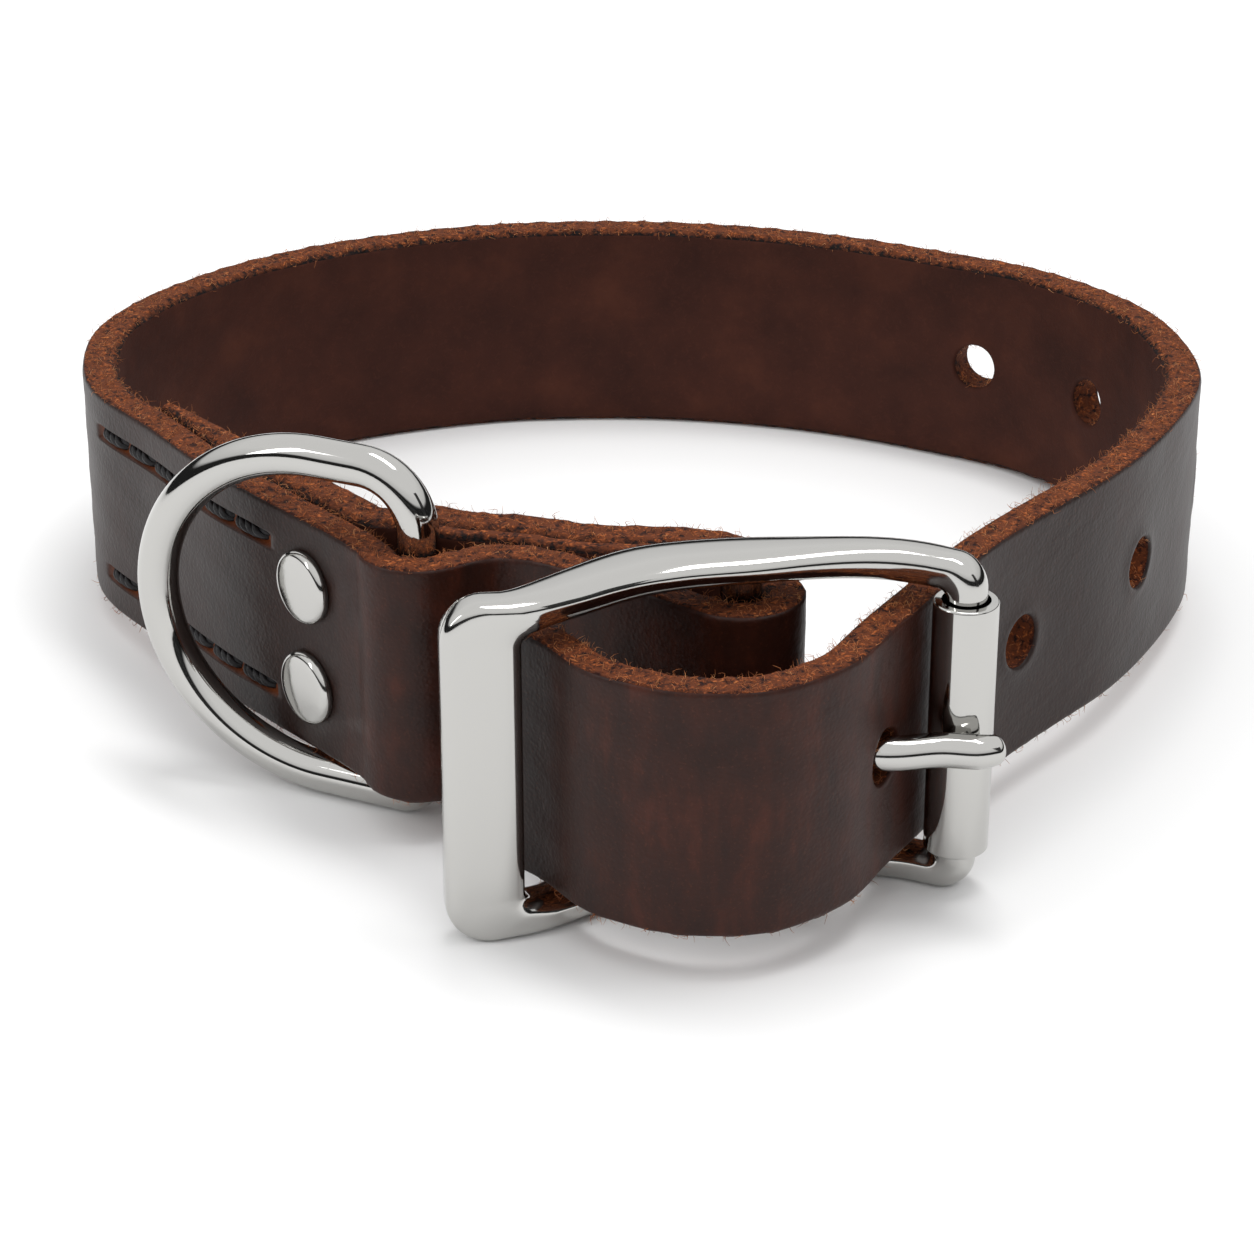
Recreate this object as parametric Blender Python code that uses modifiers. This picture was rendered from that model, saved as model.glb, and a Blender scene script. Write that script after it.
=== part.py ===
"""Leather dog collar: one folded strap, a roller buckle, a D-ring and two rivets.

The collar stands on its lower edge, closed as it is worn. Metres, +Z up, buckle towards -Y.
"""
import math

import bmesh
import bpy
import numpy as np
from mathutils import Matrix, Vector

# Strap leather
STRAP_WIDTH = 0.0254
STRAP_THICKNESS = 0.0039
EDGE_ROUND = 0.0004
SEWN_LENGTH = 0.040
SKIVE_LENGTH = 0.024
SKIVE_TIP = 0.0012
LAYER_GAP = 0.0003

# Loop round the neck, measured on the middle of the leather
LOOP_WIDTH = 0.1204
LOOP_DEPTH = 0.1144

# Punched holes
HOLE_DIAMETER = 0.0056
HOLE_PITCH = 0.0254
HOLE_COUNT = 6

# Buckle frame
FRAME_HEIGHT = 0.0354
KEEPER_REACH = 0.0244
KEEPER_FORWARD = 0.0130
KEEPER_WIDTH = 0.0074
KEEPER_DEPTH = 0.0040
ROLLER_REACH = 0.0210
ROLLER_FORWARD = 0.0038
ARM_DEPTH = 0.0072
ARM_THICKNESS = 0.0036
CENTRE_BAR = 0.0040
ROLLER_BAR = 0.0040
KEEPER_CORNER = 0.0040
ROLLER_CORNER = 0.0034
WINDOW_CORNER = 0.0012
BAR_FILLET = 0.0006

# Roller
ROLLER_DIAMETER = 0.0063
ROLLER_WALL = 0.0008
ROLLER_END_GAP = 0.0003

# Tongue
TONGUE_DIAMETER = 0.0030
TONGUE_EYE = 0.0022
TONGUE_TIP = 0.00165
TONGUE_DIP = 0.0004
TONGUE_KNEE_ANGLE = math.radians(246.0)
TONGUE_OVER_ANGLE = math.radians(280.0)
SLOT_WIDTH = 0.0050
SLOT_REACH = 0.0075

# D-ring
RING_HEIGHT = 0.0392
RING_WIRE = 0.0042
RING_STRAIGHT = 0.0110
RING_BOW = 0.0192
RING_CORNER_TOP = 0.0060
RING_CORNER_LOW = 0.0025
RING_ANGLE = math.radians(155.0)
RING_SLACK = 0.0012
FILLER_THICKNESS = 0.0018
FILLER_LENGTH = 0.0220
FILLER_RIGHT = 0.0085

# Rivets
RIVET_SETBACK = 0.0122
RIVET_ANGLE = math.radians(146.5)
RIVET_PITCH = 0.0112
RIVET_CAP = 0.0078
RIVET_BACK_CAP = 0.0044
RIVET_CAP_THICKNESS = 0.0012
RIVET_POST = 0.0030

# Free end that passes through the buckle
FREE_LOOP_REACH = 0.0196
STRAP_SIDE_ANGLE = math.radians(149.3)

# Clearances
TOUCH_GAP = 0.0003
RUN_GAP = 0.0003
TONGUE_REST_GAP = 0.0005
STRAP_ROLLER_GAP = 0.00045
HOLE_CLEARANCE = 0.0003
STRAP_IN_FRAME = 0.0011
LEVEL_BACK = 0.0140
GROUND_DEPTH = 0.0120
FLOOR_GAP = 0.0002

# Places of the centre bar and, counted from it, the D-ring's bar.
# right, back: shares of half LOOP_WIDTH and of LOOP_DEPTH.
BAR_PLACE = (0.1578, -0.5)
RING_PLACE = (-0.5166, 0.0892)

# The centre bar is where the plan is measured from
PLAN = np.array([LOOP_WIDTH / 2, LOOP_DEPTH])
BAR = PLAN * BAR_PLACE
KEEPER = BAR + np.array([-KEEPER_REACH, -KEEPER_FORWARD])
ROLLER = BAR + np.array([ROLLER_REACH, -ROLLER_FORWARD])
RING = BAR + PLAN * RING_PLACE
FRONT_RISE = ARM_THICKNESS + STRAP_IN_FRAME
REAR_Y = BAR[1] + LOOP_DEPTH
FLAT_Y = RING[1] + LEVEL_BACK
GROUND_Y = REAR_Y - GROUND_DEPTH

# Neck loop from behind the roller round to the rivets.
# across: share of half LOOP_WIDTH. back: share of LOOP_DEPTH from the centre bar.
NECK = (
    (0.556, 0.102), (0.709, 0.204), (0.787, 0.259), (0.874, 0.341), (0.965, 0.455),
    (0.997, 0.530), (0.995, 0.607), (0.967, 0.690), (0.910, 0.758), (0.777, 0.848),
    (0.633, 0.899), (0.482, 0.939), (0.326, 0.970), (0.166, 0.990), (0.003, 1.000),
    (-0.158, 0.999), (-0.319, 0.988), (-0.515, 0.956), (-0.666, 0.917), (-0.776, 0.871),
    (-0.877, 0.804), (-0.940, 0.747), (-0.992, 0.668), (-1.000, 0.598), (-0.982, 0.521),
    (-0.939, 0.461), (-0.852, 0.391), (-0.763, 0.313), (-0.678, 0.243), (-0.598, 0.190),
)

# Free end from its tip to the tongue hole.
# along: share of KEEPER_REACH left of the centre bar, or of ROLLER_REACH right of it.
# forward: share of FREE_LOOP_REACH in front of the centre bar.
FREE_END = (
    (-0.951, 0.214), (-0.828, 0.367), (-0.697, 0.536), (-0.566, 0.770), (-0.426, 0.893),
    (-0.295, 0.969), (-0.168, 1.000), (-0.037, 1.000), (0.105, 0.967), (0.257, 0.867),
    (0.424, 0.699), (0.552, 0.454),
)

# Front layer right of the D-ring's bar.
# right, back: multiples of the radius of the leather's turn round that bar.
FRONT_RUN = ((1.38, -0.37), (2.02, -0.30), (3.15, -0.69))

# Back layer behind the D-ring's bar, right to left.
# right, back: shares of the depth of the ring's pocket.
POCKET_BACK = ((0.60, 0.79), (0.20, 0.955), (-0.13, 0.955), (-0.46, 0.90), (-0.71, 0.985))

# Back layer where it swells out behind the centre bar.
# right, back: multiples of the radius of the leather's turn round that bar.
FOLD_SWELL = ((0.75, 1.45), (-0.05, 2.48), (-1.15, 2.92), (-2.35, 3.02))

# Front layer round the D-ring's bar, fold round the centre bar and the tongue's eye.
# from, to: degrees round the bar's axis, counted from +X towards +Y.
RING_TURN = (190, 300)
FOLD_TURN = (235, 390)
EYE_TURN = (20, 250)

# Tongue's tip past the roller.
# right, back: multiples of TONGUE_DIAMETER.
TIP_REACH = (0.62, 0.12)

# Buckle arms seen from above.
# along: as above. forward: share of KEEPER_FORWARD or ROLLER_FORWARD.
# depth: share of ARM_DEPTH. thick: share of ARM_THICKNESS.
ARMS = (
    (-1.000, 1.000, 0.60, 1.00), (-0.860, 0.930, 0.64, 0.99), (-0.700, 0.720, 0.78, 0.97),
    (-0.545, 0.490, 0.88, 0.93), (-0.381, 0.292, 1.00, 0.89), (-0.238, 0.200, 1.00, 0.87),
    (0.000, 0.123, 0.97, 0.86), (0.248, 0.263, 0.81, 0.88), (0.533, 0.158, 0.69, 0.93),
    (0.771, 0.368, 0.64, 0.98), (1.000, 1.000, 0.56, 1.00),
)


def clear_scene():
    for item in list(bpy.data.objects):
        bpy.data.objects.remove(item, do_unlink=True)


def new_collection(name):
    group = bpy.data.collections.new(name)
    bpy.context.scene.collection.children.link(group)
    return group


def plain_material(name, rgb, roughness, metallic):
    material = bpy.data.materials.new(name)
    material.use_nodes = True
    shader = material.node_tree.nodes["Principled BSDF"]
    shader.inputs["Base Color"].default_value = (*rgb, 1.0)
    shader.inputs["Roughness"].default_value = roughness
    shader.inputs["Metallic"].default_value = metallic
    return material


def spline(points, per_span):
    """Natural cubic through the points. Returns samples and the sample index of each point."""
    p = np.array(points, float)
    n = len(p)
    t = np.concatenate([[0.0], np.cumsum(np.sqrt(np.linalg.norm(np.diff(p, axis=0), axis=1)))])
    h = np.diff(t)
    a = np.eye(n)
    b = np.zeros((n, p.shape[1]))
    for i in range(1, n - 1):
        a[i, i - 1:i + 2] = h[i - 1], 2 * (h[i - 1] + h[i]), h[i]
        b[i] = 6 * ((p[i + 1] - p[i]) / h[i] - (p[i] - p[i - 1]) / h[i - 1])
    m = np.linalg.solve(a, b)
    samples = []
    marks = []
    for i in range(n - 1):
        marks.append(len(samples))
        for u in np.arange(per_span[i]) / per_span[i]:
            left = (1 - u) * h[i]
            right = u * h[i]
            curve = (m[i] * left ** 3 + m[i + 1] * right ** 3) / (6 * h[i])
            chord = (p[i] / h[i] - m[i] * h[i] / 6) * left
            chord = chord + (p[i + 1] / h[i] - m[i + 1] * h[i] / 6) * right
            samples.append(curve + chord)
    marks.append(len(samples))
    samples.append(p[-1])
    return np.array(samples), marks


def normals(path):
    """Unit normals to the right of the direction of travel, in plan."""
    run = np.gradient(path, axis=0)
    run /= np.linalg.norm(run, axis=1)[:, None]
    return np.stack([run[:, 1], -run[:, 0]], axis=1)


def arc(centre, radius, start, stop, count):
    return [centre + radius * np.array([math.cos(a), math.sin(a)])
            for a in np.radians(np.linspace(start, stop, count))]


def strap_base(y):
    """Height of the strap's lower edge: level in the buckle, down to the ground at the rear."""
    return FRONT_RISE * np.clip((GROUND_Y - y) / (GROUND_Y - FLAT_Y), 0.0, 1.0)


def sided(along):
    return along * (KEEPER_REACH if along < 0 else ROLLER_REACH)


def free_end_stations():
    return [BAR + np.array([sided(along), -forward * FREE_LOOP_REACH])
            for along, forward in FREE_END]


def neck_stations():
    return [np.array([across * LOOP_WIDTH / 2, BAR[1] + back * LOOP_DEPTH])
            for across, back in NECK]


def rivet_station():
    return RING + RIVET_SETBACK * np.array([math.cos(RIVET_ANGLE), math.sin(RIVET_ANGLE)])


def strap_route():
    """Middle of the leather from the free tip to the rivets' back, and the marked places on it."""
    half = STRAP_THICKNESS / 2
    free = free_end_stations()
    away = np.array([math.cos(STRAP_SIDE_ANGLE), math.sin(STRAP_SIDE_ANGLE)])
    behind = ROLLER + away * (ROLLER_DIAMETER / 2 + STRAP_ROLLER_GAP + half)
    neck = neck_stations()
    rivet = rivet_station()
    bend = RING_WIRE / 2 + TOUCH_GAP + half
    bulge = arc(RING, bend, *RING_TURN, 6)
    front_right = [RING + bend * np.array(spot) for spot in FRONT_RUN]
    turn = CENTRE_BAR / 2 + TOUCH_GAP + half
    fold = arc(BAR, turn, *FOLD_TURN, 8)
    spread = STRAP_THICKNESS + FILLER_THICKNESS + 3 * TOUCH_GAP
    lean_back = normals(np.array(front_right))
    back_right = [p - n * spread for p, n in zip(front_right[1:], lean_back[1:])]
    pocket = RING_WIRE / 2 + RING_SLACK + FILLER_THICKNESS + 2 * TOUCH_GAP + half
    swell = [BAR + turn * np.array(spot) for spot in FOLD_SWELL]
    behind_ring = [RING + pocket * np.array(spot) for spot in POCKET_BACK]
    front = free + [behind] + neck + [rivet] + bulge + front_right + fold
    points = front + swell + back_right[::-1] + behind_ring
    counts = [3] * (len(points) - 1)
    route, marks = spline(points, counts)
    rivet_index = marks[len(free) + 1 + len(neck)]
    return route, rivet_index, marks[len(free) - 1], marks[len(front) + len(swell)]


def sewn_layer(route, rivet_index):
    """Inner layer from the ring pocket back along the front layer to its skived end."""
    outward = normals(route)
    length = np.linalg.norm(np.diff(route, axis=0), axis=1)
    tip = SKIVE_TIP / STRAP_THICKNESS
    shares = []
    points = []
    run = 0.0
    index = rivet_index
    while run < SEWN_LENGTH:
        left = SEWN_LENGTH - run
        share = 1.0
        if left < SKIVE_LENGTH:
            share = tip + (1 - tip) * left / SKIVE_LENGTH
        inset = STRAP_THICKNESS / 2 + LAYER_GAP + share * STRAP_THICKNESS / 2
        points.append(route[index] - outward[index] * inset)
        shares.append(share)
        index -= 1
        run += length[index]
    return points, shares


def whole_strap():
    """Middle of the leather from tip to sewn end, its thickness shares and the marked places."""
    route, rivet_index, hole_index, filler_index = strap_route()
    layer, shares = sewn_layer(route, rivet_index)
    bridge, _ = spline([route[-3], route[-1], layer[0], layer[1]], [1, 3, 1])
    path = np.concatenate([route[:-1], bridge[1:4], np.array(layer)])
    thick = np.concatenate([np.ones(len(route) + 2), np.array(shares)])
    return path, thick, rivet_index, hole_index, filler_index


def ribbon(name, path, thickness, shares, group, material):
    """Upright leather strip along a plan path: a surface given its wall by Solidify."""
    mesh = bpy.data.meshes.new(name)
    base = strap_base(path[:, 1])
    low = [(x, y, z) for (x, y), z in zip(path, base)]
    high = [(x, y, z + STRAP_WIDTH) for (x, y), z in zip(path, base)]
    count = len(path)
    faces = [(i, i + 1, count + i + 1, count + i) for i in range(count - 1)]
    mesh.from_pydata(low + high, [], faces)
    mesh.materials.append(material)
    item = bpy.data.objects.new(name, mesh)
    group.objects.link(item)
    weight = item.vertex_groups.new(name="thickness")
    for i, share in enumerate(shares):
        weight.add([i, count + i], float(share), "REPLACE")
    wall = item.modifiers.new("wall", "SOLIDIFY")
    wall.thickness = thickness
    wall.offset = 0.0
    wall.use_even_offset = True
    wall.vertex_group = "thickness"
    wall.thickness_vertex_group = 0.0
    edge = item.modifiers.new("edge", "BEVEL")
    edge.width = EDGE_ROUND
    edge.segments = 1
    edge.limit_method = "ANGLE"
    edge.angle_limit = math.radians(50)
    return item


def helper_cylinder(name, centre, axis, diameter, length, group, sides=20):
    mesh = bpy.data.meshes.new(name)
    work = bmesh.new()
    turn = Vector(axis).to_track_quat("Z", "Y").to_matrix().to_4x4()
    bmesh.ops.create_cone(work, cap_ends=True, segments=sides, radius1=diameter / 2,
                          radius2=diameter / 2, depth=length,
                          matrix=Matrix.Translation(Vector(centre)) @ turn)
    work.to_mesh(mesh)
    work.free()
    item = bpy.data.objects.new(name, mesh)
    item.hide_render = True
    item.display_type = "WIRE"
    group.objects.link(item)
    return item


def cut(item, cutter):
    tool = item.modifiers.new("cut " + cutter.name, "BOOLEAN")
    tool.operation = "DIFFERENCE"
    tool.solver = "EXACT"
    tool.object = cutter


def make_strap(group, cutters, material):
    path, thick, rivet_index, hole_index, _ = whole_strap()
    strap = ribbon("strap", path, STRAP_THICKNESS, thick, group, material)
    outward = normals(path)
    step = np.linalg.norm(np.diff(path, axis=0), axis=1)
    distance = np.concatenate([[0.0], np.cumsum(step)])
    for number in range(HOLE_COUNT):
        target = distance[hole_index] + number * HOLE_PITCH
        index = int(np.argmin(np.abs(distance - target)))
        height = strap_base(path[index, 1]) + STRAP_WIDTH / 2
        axis = (outward[index, 0], outward[index, 1], 0.0)
        centre = (path[index, 0], path[index, 1], height)
        hole = helper_cylinder("hole_cutter_%d" % (number + 1), centre, axis, HOLE_DIAMETER,
                               3 * STRAP_THICKNESS, cutters)
        cut(strap, hole)
    place = path[rivet_index]
    face = outward[rivet_index]
    for sign in (1, -1):
        height = strap_base(place[1]) + STRAP_WIDTH / 2 + sign * RIVET_PITCH / 2
        hole = helper_cylinder("rivet_cutter_%s" % ("upper" if sign > 0 else "lower"),
                               (place[0], place[1], height), (face[0], face[1], 0.0),
                               RIVET_POST + 2 * HOLE_CLEARANCE, 8 * STRAP_THICKNESS, cutters, 16)
        cut(strap, hole)
    slot_height = strap_base(BAR[1]) + STRAP_WIDTH / 2
    mesh = bpy.data.meshes.new("slot_cutter")
    work = bmesh.new()
    size = Matrix.Diagonal((2 * SLOT_REACH + STRAP_THICKNESS, 2 * SLOT_REACH + STRAP_THICKNESS,
                            SLOT_WIDTH, 1.0))
    place = Matrix.Translation((BAR[0] + STRAP_THICKNESS / 2, BAR[1], slot_height))
    bmesh.ops.create_cube(work, size=1.0, matrix=place @ size)
    work.to_mesh(mesh)
    work.free()
    slot = bpy.data.objects.new("slot_cutter", mesh)
    slot.hide_render = True
    slot.display_type = "WIRE"
    cutters.objects.link(slot)
    cut(strap, slot)
    return strap


def make_filler(group, material):
    path, _, _, _, start = whole_strap()
    outward = normals(path)
    step = np.linalg.norm(np.diff(path, axis=0), axis=1)
    distance = np.concatenate([[0.0], np.cumsum(step)])
    begin = distance[start] - FILLER_RIGHT
    inside = (distance >= begin) & (distance <= begin + FILLER_LENGTH)
    offset = STRAP_THICKNESS / 2 + TOUCH_GAP + FILLER_THICKNESS / 2
    strip = path[inside] - outward[inside] * offset
    return ribbon("filler", strip, FILLER_THICKNESS, np.ones(len(strip)), group, material)


def frame_plan():
    """Plan line of the buckle arms from keeper to roller bar, with depth and thickness."""
    rows = []
    for along, forward, depth, thick in ARMS:
        reach = ROLLER_FORWARD if along > 0 else KEEPER_FORWARD
        rows.append((sided(along), -forward * reach, depth * ARM_DEPTH, thick * ARM_THICKNESS))
    line, _ = spline(rows, [4] * (len(rows) - 1))
    return line


def plan_point(line, distance, s):
    """Place, outward normal, depth and thickness at a distance along the plan line."""
    if s <= 0 or s >= distance[-1]:
        ends = (0, 1) if s <= 0 else (-2, -1)
        a = line[ends[0]]
        b = line[ends[1]]
        along = (b[:2] - a[:2]) / np.linalg.norm(b[:2] - a[:2])
        origin = line[0] if s <= 0 else line[-1]
        over = s if s <= 0 else s - distance[-1]
        place = origin[:2] + along * over
        return place, np.array([along[1], -along[0]]), origin[2], origin[3]
    row = np.array([np.interp(s, distance, line[:, k]) for k in range(4)])
    step = ARM_DEPTH / 16
    a = np.array([np.interp(s - step, distance, line[:, k]) for k in (0, 1)])
    b = np.array([np.interp(s + step, distance, line[:, k]) for k in (0, 1)])
    along = (b - a) / np.linalg.norm(b - a)
    return row[:2], np.array([along[1], -along[0]]), row[2], row[3]


def frame_sections(length, thickness_at):
    """Outer and window points round the frame, in distance along the plan and height."""
    half = KEEPER_WIDTH / 2
    top = FRAME_HEIGHT
    rows = []
    right = length + ROLLER_BAR / 2
    inner_right = length - ROLLER_BAR / 2
    for angle in np.radians(np.linspace(180, 90, 5)):
        outer = (-half + KEEPER_CORNER * (1 + math.cos(angle)),
                 top - KEEPER_CORNER * (1 - math.sin(angle)))
        roof = top - thickness_at(half)
        inner = (half + WINDOW_CORNER * (1 + math.cos(angle)),
                 roof - WINDOW_CORNER * (1 - math.sin(angle)))
        rows.append((outer, inner, "corner", angle))
    for share in np.linspace(0.08, 0.92, 11):
        s_in = half + WINDOW_CORNER + share * (inner_right - BAR_FILLET - half - WINDOW_CORNER)
        s_out = -half + KEEPER_CORNER + share * (right - ROLLER_CORNER + half - KEEPER_CORNER)
        rows.append(((s_out, top), (s_in, top - thickness_at(s_in)), "arm", share))
    for angle in np.radians(np.linspace(90, 0, 5)):
        outer = (right - ROLLER_CORNER * (1 - math.cos(angle)),
                 top - ROLLER_CORNER * (1 - math.sin(angle)))
        roof = top - thickness_at(inner_right)
        inner = (inner_right - BAR_FILLET * (1 - math.cos(angle)),
                 roof - BAR_FILLET * (1 - math.sin(angle)))
        rows.append((outer, inner, "bar", angle))
    return rows


def make_frame(group, material):
    """One casting: keeper bar, two arms, roller bar and centre bar."""
    line = frame_plan()
    step = np.linalg.norm(np.diff(line[:, :2], axis=0), axis=1)
    distance = np.concatenate([[0.0], np.cumsum(step)])
    length = distance[-1]

    def thickness_at(s):
        return float(np.interp(s, distance, line[:, 3]))

    upper = frame_sections(length, thickness_at)
    lower = [((o[0], FRAME_HEIGHT - o[1]), (i[0], FRAME_HEIGHT - i[1]), kind, value)
             for o, i, kind, value in reversed(upper)]
    middle_bar = [((length + ROLLER_BAR / 2, FRAME_HEIGHT / 2),
                   (length - ROLLER_BAR / 2, FRAME_HEIGHT / 2), "bar", 0.0)]
    middle_keeper = [((-KEEPER_WIDTH / 2, FRAME_HEIGHT / 2),
                      (KEEPER_WIDTH / 2, FRAME_HEIGHT / 2), "corner", math.pi)]
    rings = []
    for outer, inner, kind, value in upper + middle_bar + lower + middle_keeper:
        outer = np.array(outer)
        inner = np.array(inner)
        centre = (outer + inner) / 2
        half_wide = (outer - inner) / 2
        place, out, depth, _ = plan_point(line, distance, centre[0])
        if kind == "bar":
            blend = math.sin(value) if value else 0.0
            depth = ROLLER_BAR + (depth - ROLLER_BAR) * blend
            power = 2.0 + 0.6 * blend
        elif kind == "corner":
            depth = KEEPER_DEPTH + (depth - KEEPER_DEPTH) * max(0.0, math.sin(value))
            power = 5.0
        else:
            power = 3.2
        ring = []
        for angle in np.radians(np.arange(12) * 30.0 + 15.0):
            c = math.cos(angle)
            s = math.sin(angle)
            wide = math.copysign(abs(c) ** (2 / power), c)
            deep = math.copysign(abs(s) ** (2 / power), s)
            spot = centre + half_wide * wide
            foot, push, _, _ = plan_point(line, distance, spot[0])
            flat = foot + push * deep * depth / 2
            ring.append((flat[0], flat[1], spot[1]))
        rings.append(ring)
    mesh = bpy.data.meshes.new("buckle_frame")
    work = bmesh.new()
    verts = [[work.verts.new(co) for co in ring] for ring in rings]
    for a, b in zip(verts, verts[1:] + verts[:1]):
        for i in range(12):
            j = (i + 1) % 12
            work.faces.new((a[i], a[j], b[j], b[i]))
    bmesh.ops.recalc_face_normals(work, faces=work.faces)
    work.to_mesh(mesh)
    work.free()
    mesh.materials.append(material)
    frame = bpy.data.objects.new("buckle_frame", mesh)
    frame.location = (BAR[0], BAR[1], 0.0)
    group.objects.link(frame)
    return frame


def join_centre_bar(frame, cutters):
    sink = ARM_THICKNESS * 0.45
    bar = helper_cylinder("centre_bar", (BAR[0], BAR[1], FRAME_HEIGHT / 2), (0, 0, 1), CENTRE_BAR,
                          FRAME_HEIGHT - 2 * sink, cutters, 20)
    tool = frame.modifiers.new("centre bar", "BOOLEAN")
    tool.operation = "UNION"
    tool.solver = "EXACT"
    tool.object = bar


def make_roller(group, material):
    """Tube turned from a profile; its origin is on the roller bar's axis."""
    low = ARM_THICKNESS + BAR_FILLET + ROLLER_END_GAP
    high = FRAME_HEIGHT - low
    outer = ROLLER_DIAMETER / 2
    inner = outer - ROLLER_WALL
    lip = ROLLER_WALL * 0.3
    profile = [(outer - lip, high), (outer, high - lip), (outer, low + lip), (outer - lip, low),
               (inner, low), (inner, high)]
    mesh = bpy.data.meshes.new("roller")
    verts = [(r, 0.0, z) for r, z in profile]
    mesh.from_pydata(verts, [(i, (i + 1) % len(verts)) for i in range(len(verts))], [])
    mesh.materials.append(material)
    roller = bpy.data.objects.new("roller", mesh)
    roller.location = (ROLLER[0], ROLLER[1], 0.0)
    group.objects.link(roller)
    turn = roller.modifiers.new("turn", "SCREW")
    turn.steps = 24
    turn.render_steps = 24
    turn.use_merge_vertices = True
    turn.merge_threshold = 0.00001
    turn.use_smooth_shade = True
    return roller


def curve_piece(name, points, radius, radii, cyclic, group, material, sides=2):
    """Round bar along a path, made a mesh with its caps welded."""
    data = bpy.data.curves.new(name, "CURVE")
    data.dimensions = "3D"
    data.bevel_depth = radius
    data.bevel_resolution = sides
    data.use_fill_caps = True
    data.twist_mode = "MINIMUM"
    line = data.splines.new("POLY")
    line.points.add(len(points) - 1)
    for i, place in enumerate(points):
        line.points[i].co = (*place, 1.0)
        line.points[i].radius = radii[i]
    line.use_cyclic_u = cyclic
    shape = bpy.data.objects.new(name + "_path", data)
    bpy.context.scene.collection.objects.link(shape)
    graph = bpy.context.evaluated_depsgraph_get()
    mesh = bpy.data.meshes.new_from_object(shape.evaluated_get(graph))
    work = bmesh.new()
    work.from_mesh(mesh)
    bmesh.ops.remove_doubles(work, verts=work.verts, dist=0.00001)
    bmesh.ops.recalc_face_normals(work, faces=work.faces)
    work.to_mesh(mesh)
    work.free()
    mesh.name = name
    mesh.shade_smooth()
    mesh.set_sharp_from_angle(angle=math.radians(50))
    mesh.materials.clear()
    mesh.materials.append(material)
    bpy.data.objects.remove(shape, do_unlink=True)
    item = bpy.data.objects.new(name, mesh)
    group.objects.link(item)
    return item


def make_tongue(group, material):
    """Tongue bent round the centre bar, out through its hole and down on the roller."""
    height = strap_base(BAR[1]) + STRAP_WIDTH / 2
    eye_radius = CENTRE_BAR / 2 + RUN_GAP + TONGUE_EYE / 2
    eye = arc(np.zeros(2), eye_radius, *EYE_TURN, 12)
    hole = free_end_stations()[-1] - BAR
    seat = ROLLER_DIAMETER / 2 + TONGUE_REST_GAP + TONGUE_DIAMETER / 2
    knee, over = [ROLLER - BAR + seat * np.array([math.cos(a), math.sin(a)])
                  for a in (TONGUE_KNEE_ANGLE, TONGUE_OVER_ANGLE)]
    tip = over + TONGUE_DIAMETER * np.array(TIP_REACH)
    dip = (hole + knee) / 2 - np.array([0.0, TONGUE_DIP])
    run = [eye[-1], (eye[-1] + hole) / 2, hole, dip, knee, over, tip]
    shank, _ = spline(run, [4, 4, 3, 3, 4, 2])
    route = eye[:-1] + list(shank)
    eye_share = TONGUE_EYE / TONGUE_DIAMETER
    tip_share = TONGUE_TIP / TONGUE_DIAMETER
    last = len(shank) - 1
    radii = [eye_share] * (len(eye) - 1)
    radii += list(np.interp(np.arange(len(shank)), (0, 5, last - 3, last),
                            (eye_share, 1.0, 1.0, tip_share)))
    points = [(x, y, 0.0) for x, y in route]
    tongue = curve_piece("tongue", points, TONGUE_DIAMETER / 2, radii, False, group, material, 3)
    tongue.location = (BAR[0], BAR[1], height)
    return tongue


def make_ring(group, material):
    """D-ring of round wire; its straight bar is its own vertical axis."""
    half = (RING_HEIGHT - RING_WIRE) / 2
    points = []
    top = RING_CORNER_TOP
    low = RING_CORNER_LOW
    for angle in np.radians(np.linspace(180, 90, 6)):
        points.append((top * (1 + math.cos(angle)), half - top * (1 - math.sin(angle))))
    for angle in np.radians(np.linspace(90, -90, 33)):
        points.append((RING_STRAIGHT + RING_BOW * math.cos(angle), half * math.sin(angle)))
    for angle in np.radians(np.linspace(-90, -180, 6)):
        points.append((low * (1 + math.cos(angle)), -half + low * (1 + math.sin(angle))))
    for share in (0.25, 0.5, 0.75):
        points.append((0.0, low - half + share * (2 * half - low - top)))
    places = [(u, 0.0, v) for u, v in points]
    ring = curve_piece("d_ring", places, RING_WIRE / 2, [1.0] * len(places), True, group, material, 3)
    ring.location = (RING[0], RING[1], half + RING_WIRE / 2 + FLOOR_GAP)
    ring.rotation_euler = (0.0, 0.0, RING_ANGLE)
    return ring


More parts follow.
